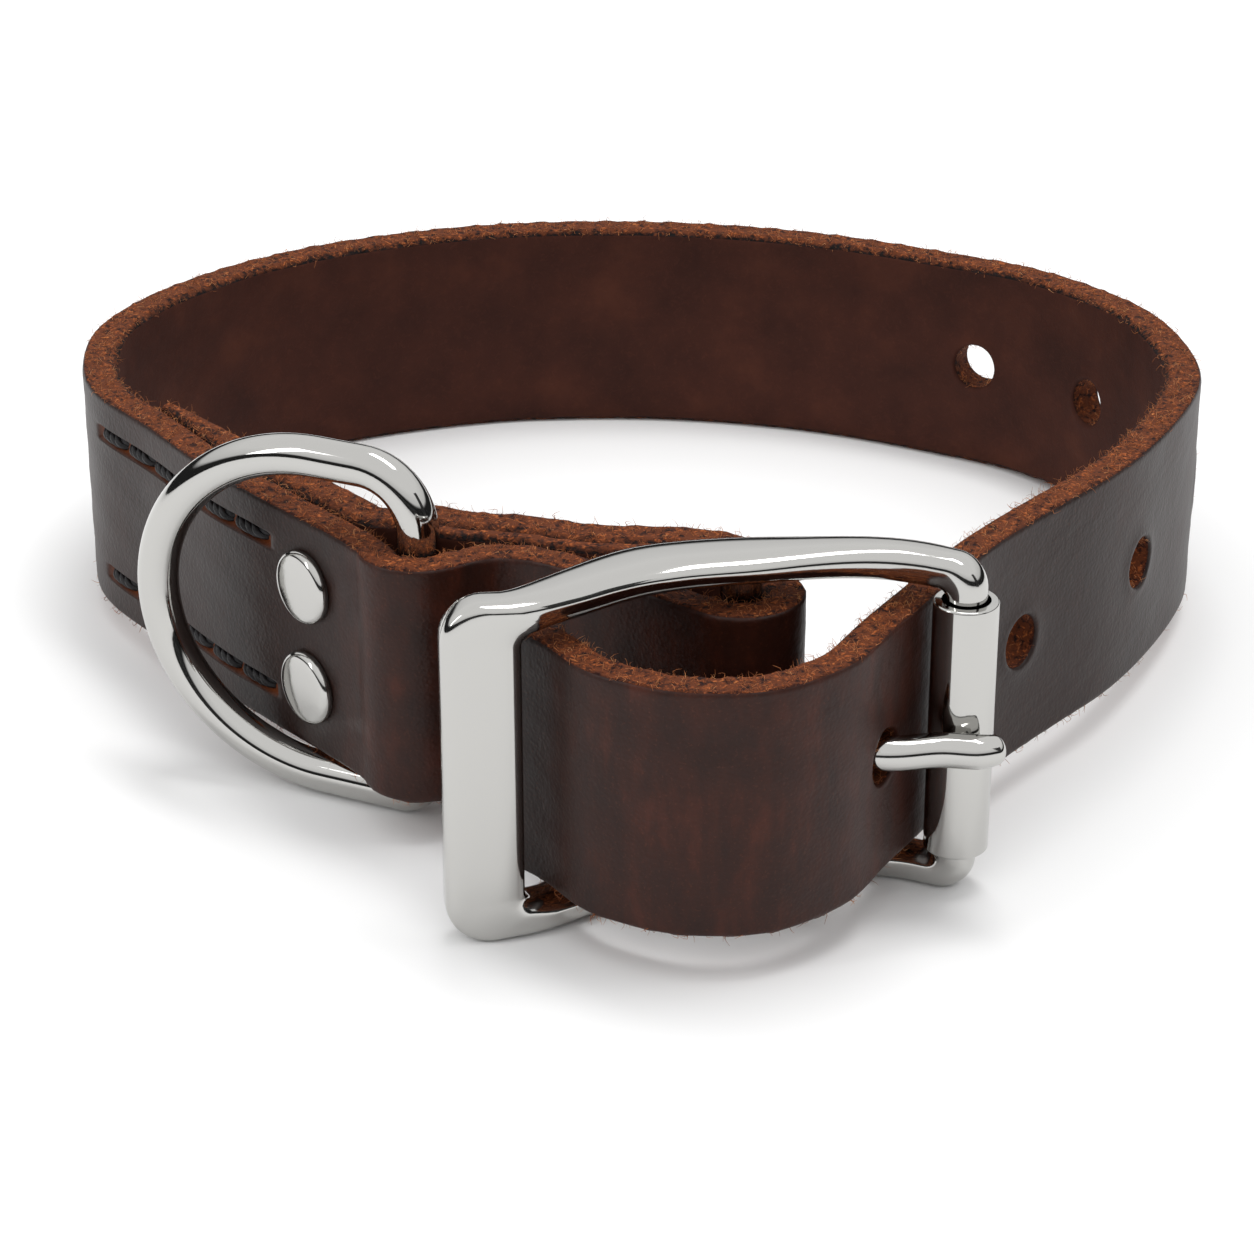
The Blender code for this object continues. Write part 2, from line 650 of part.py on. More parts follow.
def make_rivet(name, sign, group, material):
    """Double-capped rivet turned from a profile, with its axis through both layers."""
    path, _, rivet_index, _, _ = whole_strap()
    out = normals(path)[rivet_index]
    face = STRAP_THICKNESS / 2 + TOUCH_GAP
    back = -(STRAP_THICKNESS * 1.5 + LAYER_GAP + TOUCH_GAP)
    cap = RIVET_CAP / 2
    under = RIVET_BACK_CAP / 2
    rim = RIVET_CAP_THICKNESS * 0.35
    post = RIVET_POST / 2
    top = face + RIVET_CAP_THICKNESS
    bottom = back - RIVET_CAP_THICKNESS
    profile = [(0.0, top), (cap - 1.6 * rim, top), (cap - 0.4 * rim, top - 0.5 * rim),
               (cap, top - 1.4 * rim), (cap, face), (post, face), (post, back),
               (under, back), (under, bottom + rim), (under - rim, bottom), (0.0, bottom)]
    mesh = bpy.data.meshes.new(name)
    verts = [(r, 0.0, z) for r, z in profile]
    mesh.from_pydata(verts, [(i, i + 1) for i in range(len(verts) - 1)], [])
    mesh.materials.append(material)
    rivet = bpy.data.objects.new(name, mesh)
    height = strap_base(path[rivet_index, 1]) + STRAP_WIDTH / 2 + sign * RIVET_PITCH / 2
    rivet.location = (path[rivet_index, 0], path[rivet_index, 1], height)
    rivet.rotation_euler = Vector((out[0], out[1], 0.0)).to_track_quat("Z", "Y").to_euler()
    group.objects.link(rivet)
    turn = rivet.modifiers.new("turn", "SCREW")
    turn.steps = 24
    turn.render_steps = 24
    turn.use_merge_vertices = True
    turn.merge_threshold = 0.00001
    turn.use_smooth_shade = True
    return rivet


def centre_on_origin(items):
    """Carry every piece on one empty that puts the plan's middle at the origin."""
    path, _, _, _, _ = whole_strap()
    edge = path + normals(path) * STRAP_THICKNESS / 2
    middle = (edge.min(axis=0) + edge.max(axis=0)) / 2
    root = bpy.data.objects.new("collar_middle", None)
    root.location = (-middle[0], -middle[1], 0.0)
    bpy.context.scene.collection.objects.link(root)
    for item in items:
        item.parent = root


def main():
    clear_scene()
    group = new_collection("dog_collar")
    cutters = new_collection("cutters")
    leather = plain_material("bridle leather", (0.045, 0.022, 0.016), 0.5, 0.0)
    filler_leather = plain_material("filler leather", (0.16, 0.07, 0.03), 0.8, 0.0)
    plate = plain_material("nickel plated casting", (0.72, 0.71, 0.69), 0.12, 1.0)
    tube = plain_material("nickel plated tube", (0.72, 0.71, 0.69), 0.14, 1.0)
    wire = plain_material("nickel plated wire", (0.72, 0.71, 0.69), 0.10, 1.0)
    prong = plain_material("nickel plated tongue", (0.72, 0.71, 0.69), 0.12, 1.0)
    cap = plain_material("nickel plated cap", (0.72, 0.71, 0.69), 0.2, 1.0)
    frame = make_frame(group, plate)
    join_centre_bar(frame, cutters)
    pieces = [
        make_strap(group, cutters, leather),
        make_filler(group, filler_leather),
        frame,
        make_roller(group, tube),
        make_tongue(group, prong),
        make_ring(group, wire),
        make_rivet("rivet_upper", 1, group, cap),
        make_rivet("rivet_lower", -1, group, cap),
    ]
    centre_on_origin(pieces + list(cutters.objects))


main()
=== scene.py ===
# %% [markdown]
# # A leather dog collar
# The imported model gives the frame: where every piece is, and what moves. This lesson dresses it.
# The solids are loose triangles made for physics, so each piece is built again here with finer
# meshes at the same place, and then stands for its solid.

# %% Load the frame
import math
import bmesh
import bpy
import numpy as np
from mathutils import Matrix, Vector


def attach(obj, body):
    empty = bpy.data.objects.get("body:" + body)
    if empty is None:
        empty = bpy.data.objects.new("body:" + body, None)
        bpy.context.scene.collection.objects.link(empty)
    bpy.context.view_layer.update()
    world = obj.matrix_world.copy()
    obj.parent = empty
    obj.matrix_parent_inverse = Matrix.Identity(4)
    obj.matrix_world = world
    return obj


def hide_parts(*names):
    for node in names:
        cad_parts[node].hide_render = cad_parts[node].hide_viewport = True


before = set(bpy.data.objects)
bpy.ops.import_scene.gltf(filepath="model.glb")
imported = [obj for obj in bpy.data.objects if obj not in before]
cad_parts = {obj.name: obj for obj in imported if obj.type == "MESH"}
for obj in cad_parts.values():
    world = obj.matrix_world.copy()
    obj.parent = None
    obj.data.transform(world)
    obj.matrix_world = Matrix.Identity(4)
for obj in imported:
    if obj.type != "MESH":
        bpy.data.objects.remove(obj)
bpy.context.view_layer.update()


# %% [markdown]
# ## Sizes
# The strap is an inch wide. The stations are the same shares that the source uses, so that the
# fine meshes lie where the solids are: the loop round the neck, the free end, and the arms of
# the buckle.

# %% Sizes in metres
MM = 0.001
STRAP_WIDTH = 0.0254
STRAP_THICKNESS = 0.0039
SEWN_LENGTH = 0.040
SKIVE_LENGTH = 0.024
SKIVE_TIP = 0.0012
LAYER_GAP = 0.0003
LOOP_WIDTH = 0.1204
LOOP_DEPTH = 0.1144
HOLE_DIAMETER = 0.0056
FRAME_HEIGHT = 0.0354
KEEPER_REACH = 0.0244
KEEPER_FORWARD = 0.0130
KEEPER_WIDTH = 0.0074
KEEPER_DEPTH = 0.0040
ROLLER_REACH = 0.0210
ROLLER_FORWARD = 0.0038
ARM_DEPTH = 0.0072
ARM_THICKNESS = 0.0036
CENTRE_BAR = 0.0040
ROLLER_BAR = 0.0040
KEEPER_CORNER = 0.0040
ROLLER_CORNER = 0.0034
WINDOW_CORNER = 0.0012
BAR_FILLET = 0.0006
ROLLER_DIAMETER = 0.0063
ROLLER_WALL = 0.0008
ROLLER_END_GAP = 0.0003
TONGUE_DIAMETER = 0.0030
TONGUE_EYE = 0.0022
TONGUE_BULGE = 0.0034
SLOT_WIDTH = 0.0050
SLOT_REACH = 0.0075
RING_HEIGHT = 0.0392
RING_WIRE = 0.0042
RING_STRAIGHT = 0.0110
RING_BOW = 0.0192
RING_CORNER_TOP = 0.0060
RING_CORNER_LOW = 0.0025
RING_ANGLE = math.radians(155.0)
RING_SLACK = 0.0012
FILLER_THICKNESS = 0.0018
FILLER_LENGTH = 0.0220
FILLER_RIGHT = 0.0085
RIVET_SETBACK = 0.0122
RIVET_ANGLE = math.radians(146.5)
RIVET_PITCH = 0.0112
RIVET_CAP = 0.0078
RIVET_BACK_CAP = 0.0044
RIVET_CAP_THICKNESS = 0.0012
FREE_LOOP_REACH = 0.0196
TOUCH_GAP = 0.0003
RUN_GAP = 0.0003
TONGUE_REST_GAP = 0.0005
STRAP_ROLLER_GAP = 0.00045
FRONT_RISE = ARM_THICKNESS + 0.0011
PLAN = np.array([LOOP_WIDTH / 2, LOOP_DEPTH])
BAR = PLAN * (0.1578, -0.5)
ROLLER = BAR + np.array([ROLLER_REACH, -ROLLER_FORWARD])
RING = BAR + PLAN * (-0.5166, 0.0892)
REAR_Y = BAR[1] + LOOP_DEPTH
FLAT_Y = RING[1] + 0.0140
GROUND_Y = REAR_Y - 0.0120

# %% Stations, as shares of the sizes
NECK = (
    (0.556, 0.102), (0.709, 0.204), (0.787, 0.259), (0.874, 0.341), (0.965, 0.455),
    (0.997, 0.530), (0.995, 0.607), (0.967, 0.690), (0.910, 0.758), (0.777, 0.848),
    (0.633, 0.899), (0.482, 0.939), (0.326, 0.970), (0.166, 0.990), (0.003, 1.000),
    (-0.158, 0.999), (-0.319, 0.988), (-0.515, 0.956), (-0.666, 0.917), (-0.776, 0.871),
    (-0.877, 0.804), (-0.940, 0.747), (-0.992, 0.668), (-1.000, 0.598), (-0.982, 0.521),
    (-0.939, 0.461), (-0.852, 0.391), (-0.763, 0.313), (-0.678, 0.243), (-0.598, 0.190),
)
FREE_END = (
    (-0.951, 0.214), (-0.828, 0.367), (-0.697, 0.536), (-0.566, 0.770), (-0.426, 0.893),
    (-0.295, 0.969), (-0.168, 1.000), (-0.037, 1.000), (0.105, 0.967), (0.257, 0.867),
    (0.424, 0.699), (0.552, 0.454),
)
FRONT_RUN = ((1.38, -0.37), (2.02, -0.30), (3.15, -0.69))
POCKET_BACK = ((0.60, 0.79), (0.20, 0.955), (-0.13, 0.955), (-0.46, 0.90), (-0.71, 0.985))
FOLD_SWELL = ((0.75, 1.45), (-0.05, 2.48), (-1.15, 2.92), (-2.35, 3.02))
ARMS = (
    (-1.000, 1.000, 0.60, 1.00), (-0.860, 0.930, 0.64, 0.99), (-0.700, 0.720, 0.78, 0.97),
    (-0.545, 0.490, 0.88, 0.93), (-0.381, 0.292, 1.00, 0.89), (-0.238, 0.200, 1.00, 0.87),
    (0.000, 0.123, 0.97, 0.86), (0.248, 0.263, 0.81, 0.88), (0.533, 0.158, 0.69, 0.93),
    (0.771, 0.368, 0.64, 0.98), (1.000, 1.000, 0.56, 1.00),
)

# %% [markdown]
# ## The strap's line
# Seen from above, the middle of the leather is one smooth line from the free tip to the sewn
# end. A natural cubic through the stations bends as real leather does, with no sudden change
# of curve.


# %% Curves through stations
def spline(points, per_span):
    """Natural cubic through the points. Returns the samples."""
    p = np.array(points, float)
    n = len(p)
    t = np.concatenate([[0.0], np.cumsum(np.sqrt(np.linalg.norm(np.diff(p, axis=0), axis=1)))])
    h = np.diff(t)
    a = np.eye(n)
    b = np.zeros((n, p.shape[1]))
    for i in range(1, n - 1):
        a[i, i - 1:i + 2] = h[i - 1], 2 * (h[i - 1] + h[i]), h[i]
        b[i] = 6 * ((p[i + 1] - p[i]) / h[i] - (p[i] - p[i - 1]) / h[i - 1])
    m = np.linalg.solve(a, b)
    samples = []
    for i in range(n - 1):
        for u in np.arange(per_span) / per_span:
            left = (1 - u) * h[i]
            right = u * h[i]
            curve = (m[i] * left ** 3 + m[i + 1] * right ** 3) / (6 * h[i])
            chord = (p[i] / h[i] - m[i] * h[i] / 6) * left
            samples.append(curve + chord + (p[i + 1] / h[i] - m[i + 1] * h[i] / 6) * right)
    samples.append(p[-1])
    return np.array(samples)


def normals(line):
    """Unit normals to the right of the direction of travel, in plan."""
    run = np.gradient(line, axis=0)
    run /= np.linalg.norm(run, axis=1)[:, None]
    return np.stack([run[:, 1], -run[:, 0]], axis=1)


def turn_points(centre, radius, start, stop, count):
    return [centre + radius * np.array([math.cos(a), math.sin(a)])
            for a in np.radians(np.linspace(start, stop, count))]


def run_length(line):
    step = np.linalg.norm(np.diff(line, axis=0), axis=1)
    return np.concatenate([[0.0], np.cumsum(step)])


def sided(along):
    return along * (KEEPER_REACH if along < 0 else ROLLER_REACH)


# %% The strap's line, from the free tip to the sewn end
def strap_line():
    half = STRAP_THICKNESS / 2
    free = [BAR + np.array([sided(a), -f * FREE_LOOP_REACH]) for a, f in FREE_END]
    side = np.array([math.cos(math.radians(149.3)), math.sin(math.radians(149.3))])
    behind = ROLLER + side * (ROLLER_DIAMETER / 2 + STRAP_ROLLER_GAP + half)
    neck = [np.array([x * LOOP_WIDTH / 2, BAR[1] + y * LOOP_DEPTH]) for x, y in NECK]
    rivet = RING + RIVET_SETBACK * np.array([math.cos(RIVET_ANGLE), math.sin(RIVET_ANGLE)])
    bend = RING_WIRE / 2 + TOUCH_GAP + half
    front_right = [RING + bend * np.array(spot) for spot in FRONT_RUN]
    turn = CENTRE_BAR / 2 + TOUCH_GAP + half
    spread = STRAP_THICKNESS + FILLER_THICKNESS + 3 * TOUCH_GAP
    lean = normals(np.array(front_right))
    back_right = [p - n * spread for p, n in zip(front_right[1:], lean[1:])]
    pocket = RING_WIRE / 2 + RING_SLACK + FILLER_THICKNESS + 2 * TOUCH_GAP + half
    swell = [BAR + turn * np.array(spot) for spot in FOLD_SWELL]
    behind_ring = [RING + pocket * np.array(spot) for spot in POCKET_BACK]
    front = free + [behind] + neck + [rivet] + turn_points(RING, bend, 190, 300, 6)
    front += front_right + turn_points(BAR, turn, 235, 390, 8)
    route = spline(front + swell + back_right[::-1] + behind_ring, 3)
    rivet_index = 3 * (len(free) + 1 + len(neck))
    out = normals(route)
    step = np.linalg.norm(np.diff(route, axis=0), axis=1)
    tip = SKIVE_TIP / STRAP_THICKNESS
    layer = []
    shares = []
    run = 0.0
    index = rivet_index
    while run < SEWN_LENGTH:
        left = SEWN_LENGTH - run
        share = 1.0 if left > SKIVE_LENGTH else tip + (1 - tip) * left / SKIVE_LENGTH
        layer.append(route[index] - out[index] * (half + LAYER_GAP + share * half))
        shares.append(share)
        index -= 1
        run += step[index]
    link = spline([route[-3], route[-1], layer[0], layer[1]], 3)[4:6]
    coarse = np.concatenate([route, link, np.array(layer)])
    thick = np.concatenate([np.ones(len(route) + 2), np.array(shares)])
    marks = {"hole": 3 * (len(free) - 1), "rivet": rivet_index,
             "filler": 3 * (len(front) + len(swell))}
    return coarse, thick, marks


coarse_line, coarse_share, coarse_marks = strap_line()
edge_line = coarse_line + normals(coarse_line) * STRAP_THICKNESS / 2
middle = (edge_line.min(axis=0) + edge_line.max(axis=0)) / 2
FINE = 6
fine_line = spline(coarse_line, FINE) - middle
fine_share = np.interp(np.arange(len(fine_line)) / FINE, np.arange(len(coarse_share)), coarse_share)
fine_run = run_length(fine_line)
fine_out = normals(fine_line)
marks = {name: fine_run[FINE * index] for name, index in coarse_marks.items()}
BAR, ROLLER, RING = (p - middle for p in (BAR, ROLLER, RING))
FLAT_Y, GROUND_Y = FLAT_Y - middle[1], GROUND_Y - middle[1]
LENGTH = fine_run[-1]
print("strap length mm", round(LENGTH / MM, 1), {k: round(v / MM, 1) for k, v in marks.items()})


# %% [markdown]
# ## From strap measure to space
# A leather worker measures along the strap and across it. Every mesh here is laid out in those
# measures: s along the strap, v up its width, h from the middle of the leather towards the
# grain. One function carries them to space, so holes and grooves are drawn on flat leather.

# %% The map from strap measure to space
def strap_base(y):
    return FRONT_RISE * np.clip((GROUND_Y - y) / (GROUND_Y - FLAT_Y), 0.0, 1.0)


class Strip:
    """A band of leather that stands on edge along a line seen from above."""

    def __init__(self, line, share, thickness):
        self.line = line
        self.run = run_length(line)
        self.out = normals(line)
        self.half = share * thickness / 2
        self.base = strap_base(line[:, 1])
        self.length = self.run[-1]

    def at(self, s, table):
        return np.interp(s, self.run, table)

    def facing(self, s):
        """Unit vector out of the grain."""
        return np.array([self.at(s, self.out[:, 0]), self.at(s, self.out[:, 1]), 0.0])

    def place(self, s, v, h):
        x = self.at(s, self.line[:, 0]) + h * self.at(s, self.out[:, 0])
        y = self.at(s, self.line[:, 1]) + h * self.at(s, self.out[:, 1])
        return np.stack([x, y, self.at(s, self.base) + v], axis=-1)


strap = Strip(fine_line, fine_share, STRAP_THICKNESS)
back_start = marks["filler"] - FILLER_RIGHT
inside = (fine_run >= back_start) & (fine_run <= back_start + FILLER_LENGTH)
filler_offset = STRAP_THICKNESS / 2 + TOUCH_GAP + FILLER_THICKNESS / 2
filler_line = fine_line[inside] - fine_out[inside] * filler_offset
filler = Strip(filler_line, np.ones(len(filler_line)), FILLER_THICKNESS)
print("filler length mm", round(filler.length / MM, 1))

# %% [markdown]
# ## Colour
# Colours are written as they look on a screen and turned to the linear light that a shader
# works in. One helper adds a node with its settings and its links, and wire fills in the
# inputs of a node that is already there.

# %% Colour and node helpers
NOISE, MATH, RAMP, MIX = ["ShaderNode" + kind for kind in ("TexNoise", "Math", "ValToRGB", "Mix")]
VECTOR, CIRCLE = "ShaderNodeCombineXYZ", "GeometryNodeCurvePrimitiveCircle"
TIMES, PLUS, MINUS = [{"operation": how} for how in ("MULTIPLY", "ADD", "SUBTRACT")]
OVER, DARKEN = [{"data_type": "RGBA", "blend_type": how} for how in ("MIX", "MULTIPLY")]


def linear(code):
    parts = [int(code[i:i + 2], 16) / 255 for i in (1, 3, 5)]
    light = [c / 12.92 if c <= 0.04045 else ((c + 0.055) / 1.055) ** 2.4 for c in parts]
    return (*light, 1.0)


def wire(tree, made, inputs):
    """Values and links into a node. A node links its first output, a string is a colour."""
    for name, value in inputs.items():
        if isinstance(value, bpy.types.Node):
            value = value.outputs[0]
        if isinstance(value, bpy.types.NodeSocket):
            tree.links.new(value, made.inputs[name])
        else:
            coded = isinstance(value, str) and value.startswith("#")
            made.inputs[name].default_value = linear(value) if coded else value


def add(tree, kind, settings=None, inputs=None):
    """A node with its settings, values and links. "stops" holds a ramp's (place, colour)."""
    made = tree.nodes.new(kind)
    for name, value in (settings or {}).items():
        if name == "stops":
            band = made.color_ramp.elements
            while len(band) < len(value):
                band.new(0.5)
            for element, (place, colour) in zip(band, value):
                element.position, element.color = place, linear(colour)
        else:
            setattr(made, name, value)
    wire(tree, made, inputs or {})
    return made


def new_material(name):
    material = bpy.data.materials.new(name)
    material.use_nodes = True
    tree = material.node_tree
    return material, tree, tree.nodes["Principled BSDF"]


def per_mm(size_mm):
    """Texture scale, in turns per metre, for a pattern of that size."""
    return 1.0 / (size_mm * MM)


# %% [markdown]
# ## Leather
# Bridle leather has three faces. The grain is the hide's outside: dyed, waxed and pressed
# smooth, so it is dark and satin with pores about a third of a millimetre apart. The flesh is
# the inside: smoother fibre, a little duller. The cut edge is bare fibre that the dye never
# reached, orange brown and rough. Where the leather is bent hard its wax pulls up and a warmer
# brown shows.


# %% Grain side of dyed and waxed bridle leather
def grain_material():
    material, tree, shader = new_material("dyed and waxed bridle leather grain")
    uv = add(tree, "ShaderNodeUVMap", {"uv_map": "strap"})
    place = add(tree, "ShaderNodeTexCoord").outputs["Object"]
    bent, raw = [add(tree, "ShaderNodeAttribute", {"attribute_name": label}).outputs["Fac"]
                 for label in ("bend", "raw")]
    streak = add(tree, "ShaderNodeMapping", None, {"Vector": uv, "Scale": (1.0, 0.30, 1.0)})
    streaks = add(tree, NOISE, None, {"Vector": streak, "Scale": per_mm(2.4), "Detail": 4.0,
                                      "Roughness": 0.62})
    cloud = add(tree, NOISE, None, {"Vector": place, "Scale": per_mm(14.0), "Detail": 3.0,
                                    "Roughness": 0.5})
    base = add(tree, RAMP, {"stops": [(0.30, "#180c09"), (0.55, "#20110d"), (0.75, "#291712")]},
               {"Fac": cloud})
    warm = add(tree, RAMP, {"stops": [(0.30, "#2c120a"), (0.55, "#36170d"), (0.72, "#431d11")]},
               {"Fac": streaks})
    mottled = add(tree, MATH, TIMES, {0: bent, 1: streaks})
    warmth = add(tree, MATH, {"operation": "MULTIPLY", "use_clamp": True}, {0: mottled, 1: 1.7})
    colour = add(tree, MIX, OVER, {0: warmth, 6: base, 7: warm}).outputs[2]
    fleck = add(tree, NOISE, None, {"Vector": place, "Scale": per_mm(0.30), "Detail": 2.0,
                                    "Roughness": 0.5})
    dots = add(tree, RAMP, {"stops": [(0.60, "#000000"), (0.72, "#ffffff")]}, {"Fac": fleck})
    faint = add(tree, MATH, TIMES, {0: dots, 1: 0.16})
    colour = add(tree, MIX, OVER, {0: faint, 6: colour, 7: "#6b3a24"}).outputs[2]
    colour = add(tree, MIX, OVER, {0: raw, 6: colour, 7: "#6a361b"}).outputs[2]
    pores = add(tree, "ShaderNodeTexVoronoi", {"feature": "SMOOTH_F1"},
                {"Vector": place, "Scale": per_mm(0.42), "Smoothness": 0.6, "Randomness": 1.0})
    creases = add(tree, NOISE, None, {"Vector": place, "Scale": per_mm(1.6), "Detail": 4.0,
                                      "Roughness": 0.62, "Distortion": 0.6})
    height = add(tree, MATH, {"operation": "MULTIPLY_ADD"},
                 {0: pores.outputs["Distance"], 1: 0.55, 2: creases})
    bump = add(tree, "ShaderNodeBump", None,
               {"Height": height, "Strength": 0.30, "Distance": 0.00018})
    gloss = add(tree, "ShaderNodeMapRange", None, {"Value": cloud, "To Min": 0.36, "To Max": 0.50})
    wire(tree, shader, {"Base Color": colour, "Normal": bump, "Roughness": gloss,
                        "Specular IOR Level": 0.24})
    return material


# %% Flesh side of the leather
def flesh_material():
    material, tree, shader = new_material("slicked leather flesh side")
    place = add(tree, "ShaderNodeTexCoord").outputs["Object"]
    cloud = add(tree, NOISE, None, {"Vector": place, "Scale": per_mm(9.0), "Detail": 4.0,
                                    "Roughness": 0.6})
    fibre = add(tree, NOISE, None, {"Vector": place, "Scale": per_mm(0.7), "Detail": 5.0,
                                    "Roughness": 0.65, "Distortion": 1.2})
    base = add(tree, RAMP, {"stops": [(0.32, "#32160e"), (0.55, "#3e1d13"), (0.72, "#4a2518")]},
               {"Fac": cloud})
    light = add(tree, RAMP, {"stops": [(0.52, "#000000"), (0.75, "#ffffff")]}, {"Fac": fibre})
    some = add(tree, MATH, TIMES, {0: light, 1: 0.25})
    colour = add(tree, MIX, OVER, {0: some, 6: base, 7: "#5c3122"}).outputs[2]
    bump = add(tree, "ShaderNodeBump", None,
               {"Height": fibre, "Strength": 0.35, "Distance": 0.00022})
    wire(tree, shader, {"Base Color": colour, "Normal": bump, "Roughness": 0.68,
                        "Specular IOR Level": 0.18})
    return material


# %% Cut edge of the leather
def edge_material():
    material, tree, shader = new_material("raw cut leather edge")
    place = add(tree, "ShaderNodeTexCoord").outputs["Object"]
    uv = add(tree, "ShaderNodeUVMap", {"uv_map": "strap"})
    curls = add(tree, NOISE, {"noise_type": "RIDGED_MULTIFRACTAL"},
                {"Vector": place, "Scale": per_mm(0.55), "Detail": 3.0, "Roughness": 0.55,
                 "Lacunarity": 2.1, "Distortion": 0.9})
    pits = add(tree, NOISE, None, {"Vector": place, "Scale": per_mm(0.8), "Detail": 3.0,
                                   "Roughness": 0.6})
    fibre = add(tree, RAMP, {"stops": [(0.05, "#5c2c12"), (0.35, "#9c5226"), (0.8, "#c27a42"),
                                       (1.0, "#da9e68")]}, {"Fac": curls})
    # Painted shade: the low spots of the pits noise, which the bump also sinks, are darkened by
    # multiplying.
    shade = add(tree, RAMP, {"stops": [(0.34, "#5a3826"), (0.50, "#ffffff")]}, {"Fac": pits})
    colour = add(tree, MIX, DARKEN, {0: 1.0, 6: fibre, 7: shade}).outputs[2]
    across = add(tree, "ShaderNodeSeparateXYZ", None, {"Vector": uv}).outputs["Y"]
    wobble = add(tree, MATH, {"operation": "MULTIPLY_ADD"}, {0: pits, 1: 0.0016, 2: across})
    band = add(tree, "ShaderNodeMapRange", None,
               {"Value": wobble, "From Min": 0.0, "From Max": 0.0047})
    dark = add(tree, RAMP, {"stops": [(0.18, "#43241a"), (0.31, "#ffffff"), (0.92, "#ffffff"),
                                      (1.0, "#6a4634")]}, {"Fac": band})
    colour = add(tree, MIX, DARKEN, {0: 1.0, 6: colour, 7: dark}).outputs[2]
    height = add(tree, MATH, PLUS, {0: curls, 1: pits})
    bump = add(tree, "ShaderNodeBump", None,
               {"Height": height, "Strength": 0.9, "Distance": 0.00022})
    wire(tree, shader, {"Base Color": colour, "Normal": bump, "Roughness": 0.85,
                        "Specular IOR Level": 0.25})
    return material


grain = grain_material()
flesh = flesh_material()
raw_edge = edge_material()

# %% [markdown]
# ## The strap's mesh
# The strap is a closed skin: grain, top edge, flesh and bottom edge, drawn as one section and
# carried along the line. A hole is not cut with a Boolean, which leaves ragged shading. The
# grid's squares round it are taken out and rings of points lead from that square to the
# punched circle, so the rim can be raised as the punch leaves it.

# %% Sizes of the strap's finish
GRAIN_ROUND = 0.45 * MM
FLESH_ROUND = 0.75 * MM
STEP = 0.75 * MM
GROOVE_INSET = 4.3 * MM
GROOVE_HALF = 1.0 * MM
GROOVE_DEPTH = 0.85 * MM
BACK_RIVET = LENGTH - SEWN_LENGTH
GROOVES = [(marks["rivet"] - 45.0 * MM, marks["rivet"] - 5.6 * MM),
           (BACK_RIVET + 5.6 * MM, BACK_RIVET + 34.0 * MM)]
RIM_LIFT = 0.16 * MM
EDGE_NOISE = 0.16 * MM
CORNER_ANGLES = (20, 50)
CUT_POINTS = 9
RING_SHARES = (0.25, 0.48, 0.66, 0.79, 0.88, 0.95, 1.0)
WALL_LEVELS = (0.82, 0.5, 0.1, -0.3, -0.7)
ZONES = {"grain": 0, "edge": 1, "flesh": 2}


def smooth_step(x):
    x = np.clip(x, 0.0, 1.0)
    return x * x * (3 - 2 * x)


def lumps(s, a, seed):
    """Slow and quick waves that never line up, for the unevenness of a knife cut."""
    rng = np.random.default_rng(seed)
    total = np.zeros(np.broadcast(s, a).shape)
    for wave in (4.1, 2.6, 1.7, 1.15):
        k = 2 * np.pi / (wave * MM)
        tilt = rng.uniform(-1.2, 1.2)
        total = total + wave / 9.5 * np.sin(k * s + tilt * k * a + rng.uniform(0, 6.28))
    return total


# %% One section of the strap
def groove_depth(s, v):
    """How deep the sewing grooves are at a place on the grain."""
    along = sum(smooth_step((s - a) / MM) * smooth_step((b - s) / MM) for a, b in GROOVES)
    near = np.minimum(abs(v - GROOVE_INSET), abs(v - STRAP_WIDTH + GROOVE_INSET))
    return GROOVE_DEPTH * along * smooth_step((GROOVE_HALF - near) / (0.45 * MM))


def width_stations():
    rows = [0.6, 1.0, 1.6, 2.4]
    rows += [4.3 + d for d in (-1.2, -1.0, -0.85, -0.7, -0.55, 0.0, 0.55, 0.7, 0.85, 1.0, 1.2)]
    rows += [6.2, 7.0]
    half = STRAP_WIDTH / MM / 2
    middle_rows = list(half + np.arange(-6, 7) * 0.85)
    rows = [r for r in rows if r < middle_rows[0] - 0.3]
    return np.array(rows + middle_rows + [2 * half - r for r in reversed(rows)]) * MM


def section(half):
    """Points (v, h, zone) round the strap's section for a half thickness."""
    grain_round = min(GRAIN_ROUND, 0.6 * half)
    flesh_round = min(FLESH_ROUND, 0.6 * half)
    first = half - 0.7 * grain_round
    cut = [first - share * (half + first - flesh_round)
           for share in np.linspace(0.0, 1.0, CUT_POINTS)]
    corner = [(grain_round * (1 - math.sin(a)), half - grain_round * (1 - math.cos(a)))
              for a in np.radians(CORNER_ANGLES)]
    bevel = 0.42 * flesh_round
    rows = [(v, half, "grain") for v in width_stations()]
    rows += [(STRAP_WIDTH - v, h, "grain") for v, h in corner]
    rows += [(STRAP_WIDTH, h, "edge") for h in cut]
    rows += [(STRAP_WIDTH - bevel, bevel - half, "edge")]
    rows += [(v, -half, "flesh") for v in width_stations()[::-1]]
    rows += [(bevel, bevel - half, "edge")]
    rows += [(0.0, h, "edge") for h in cut[::-1]]
    rows += [(v, h, "grain") for v, h in corner[::-1]]
    return rows


LAST_WIDTH = len(width_stations()) - 1
FLESH_FIRST = LAST_WIDTH + 1 + len(CORNER_ANGLES) + CUT_POINTS + 1
print("points in a section", len(section(STRAP_THICKNESS / 2)))


# %% [markdown]
# ## Punched holes
# A hole has a middle, two half sizes and a power: 2 is round, more is squarer, as the slot
# that lets the tongue through. Points between the square and the rim are spread so that the
# rings crowd near the rim, where the leather bulges.

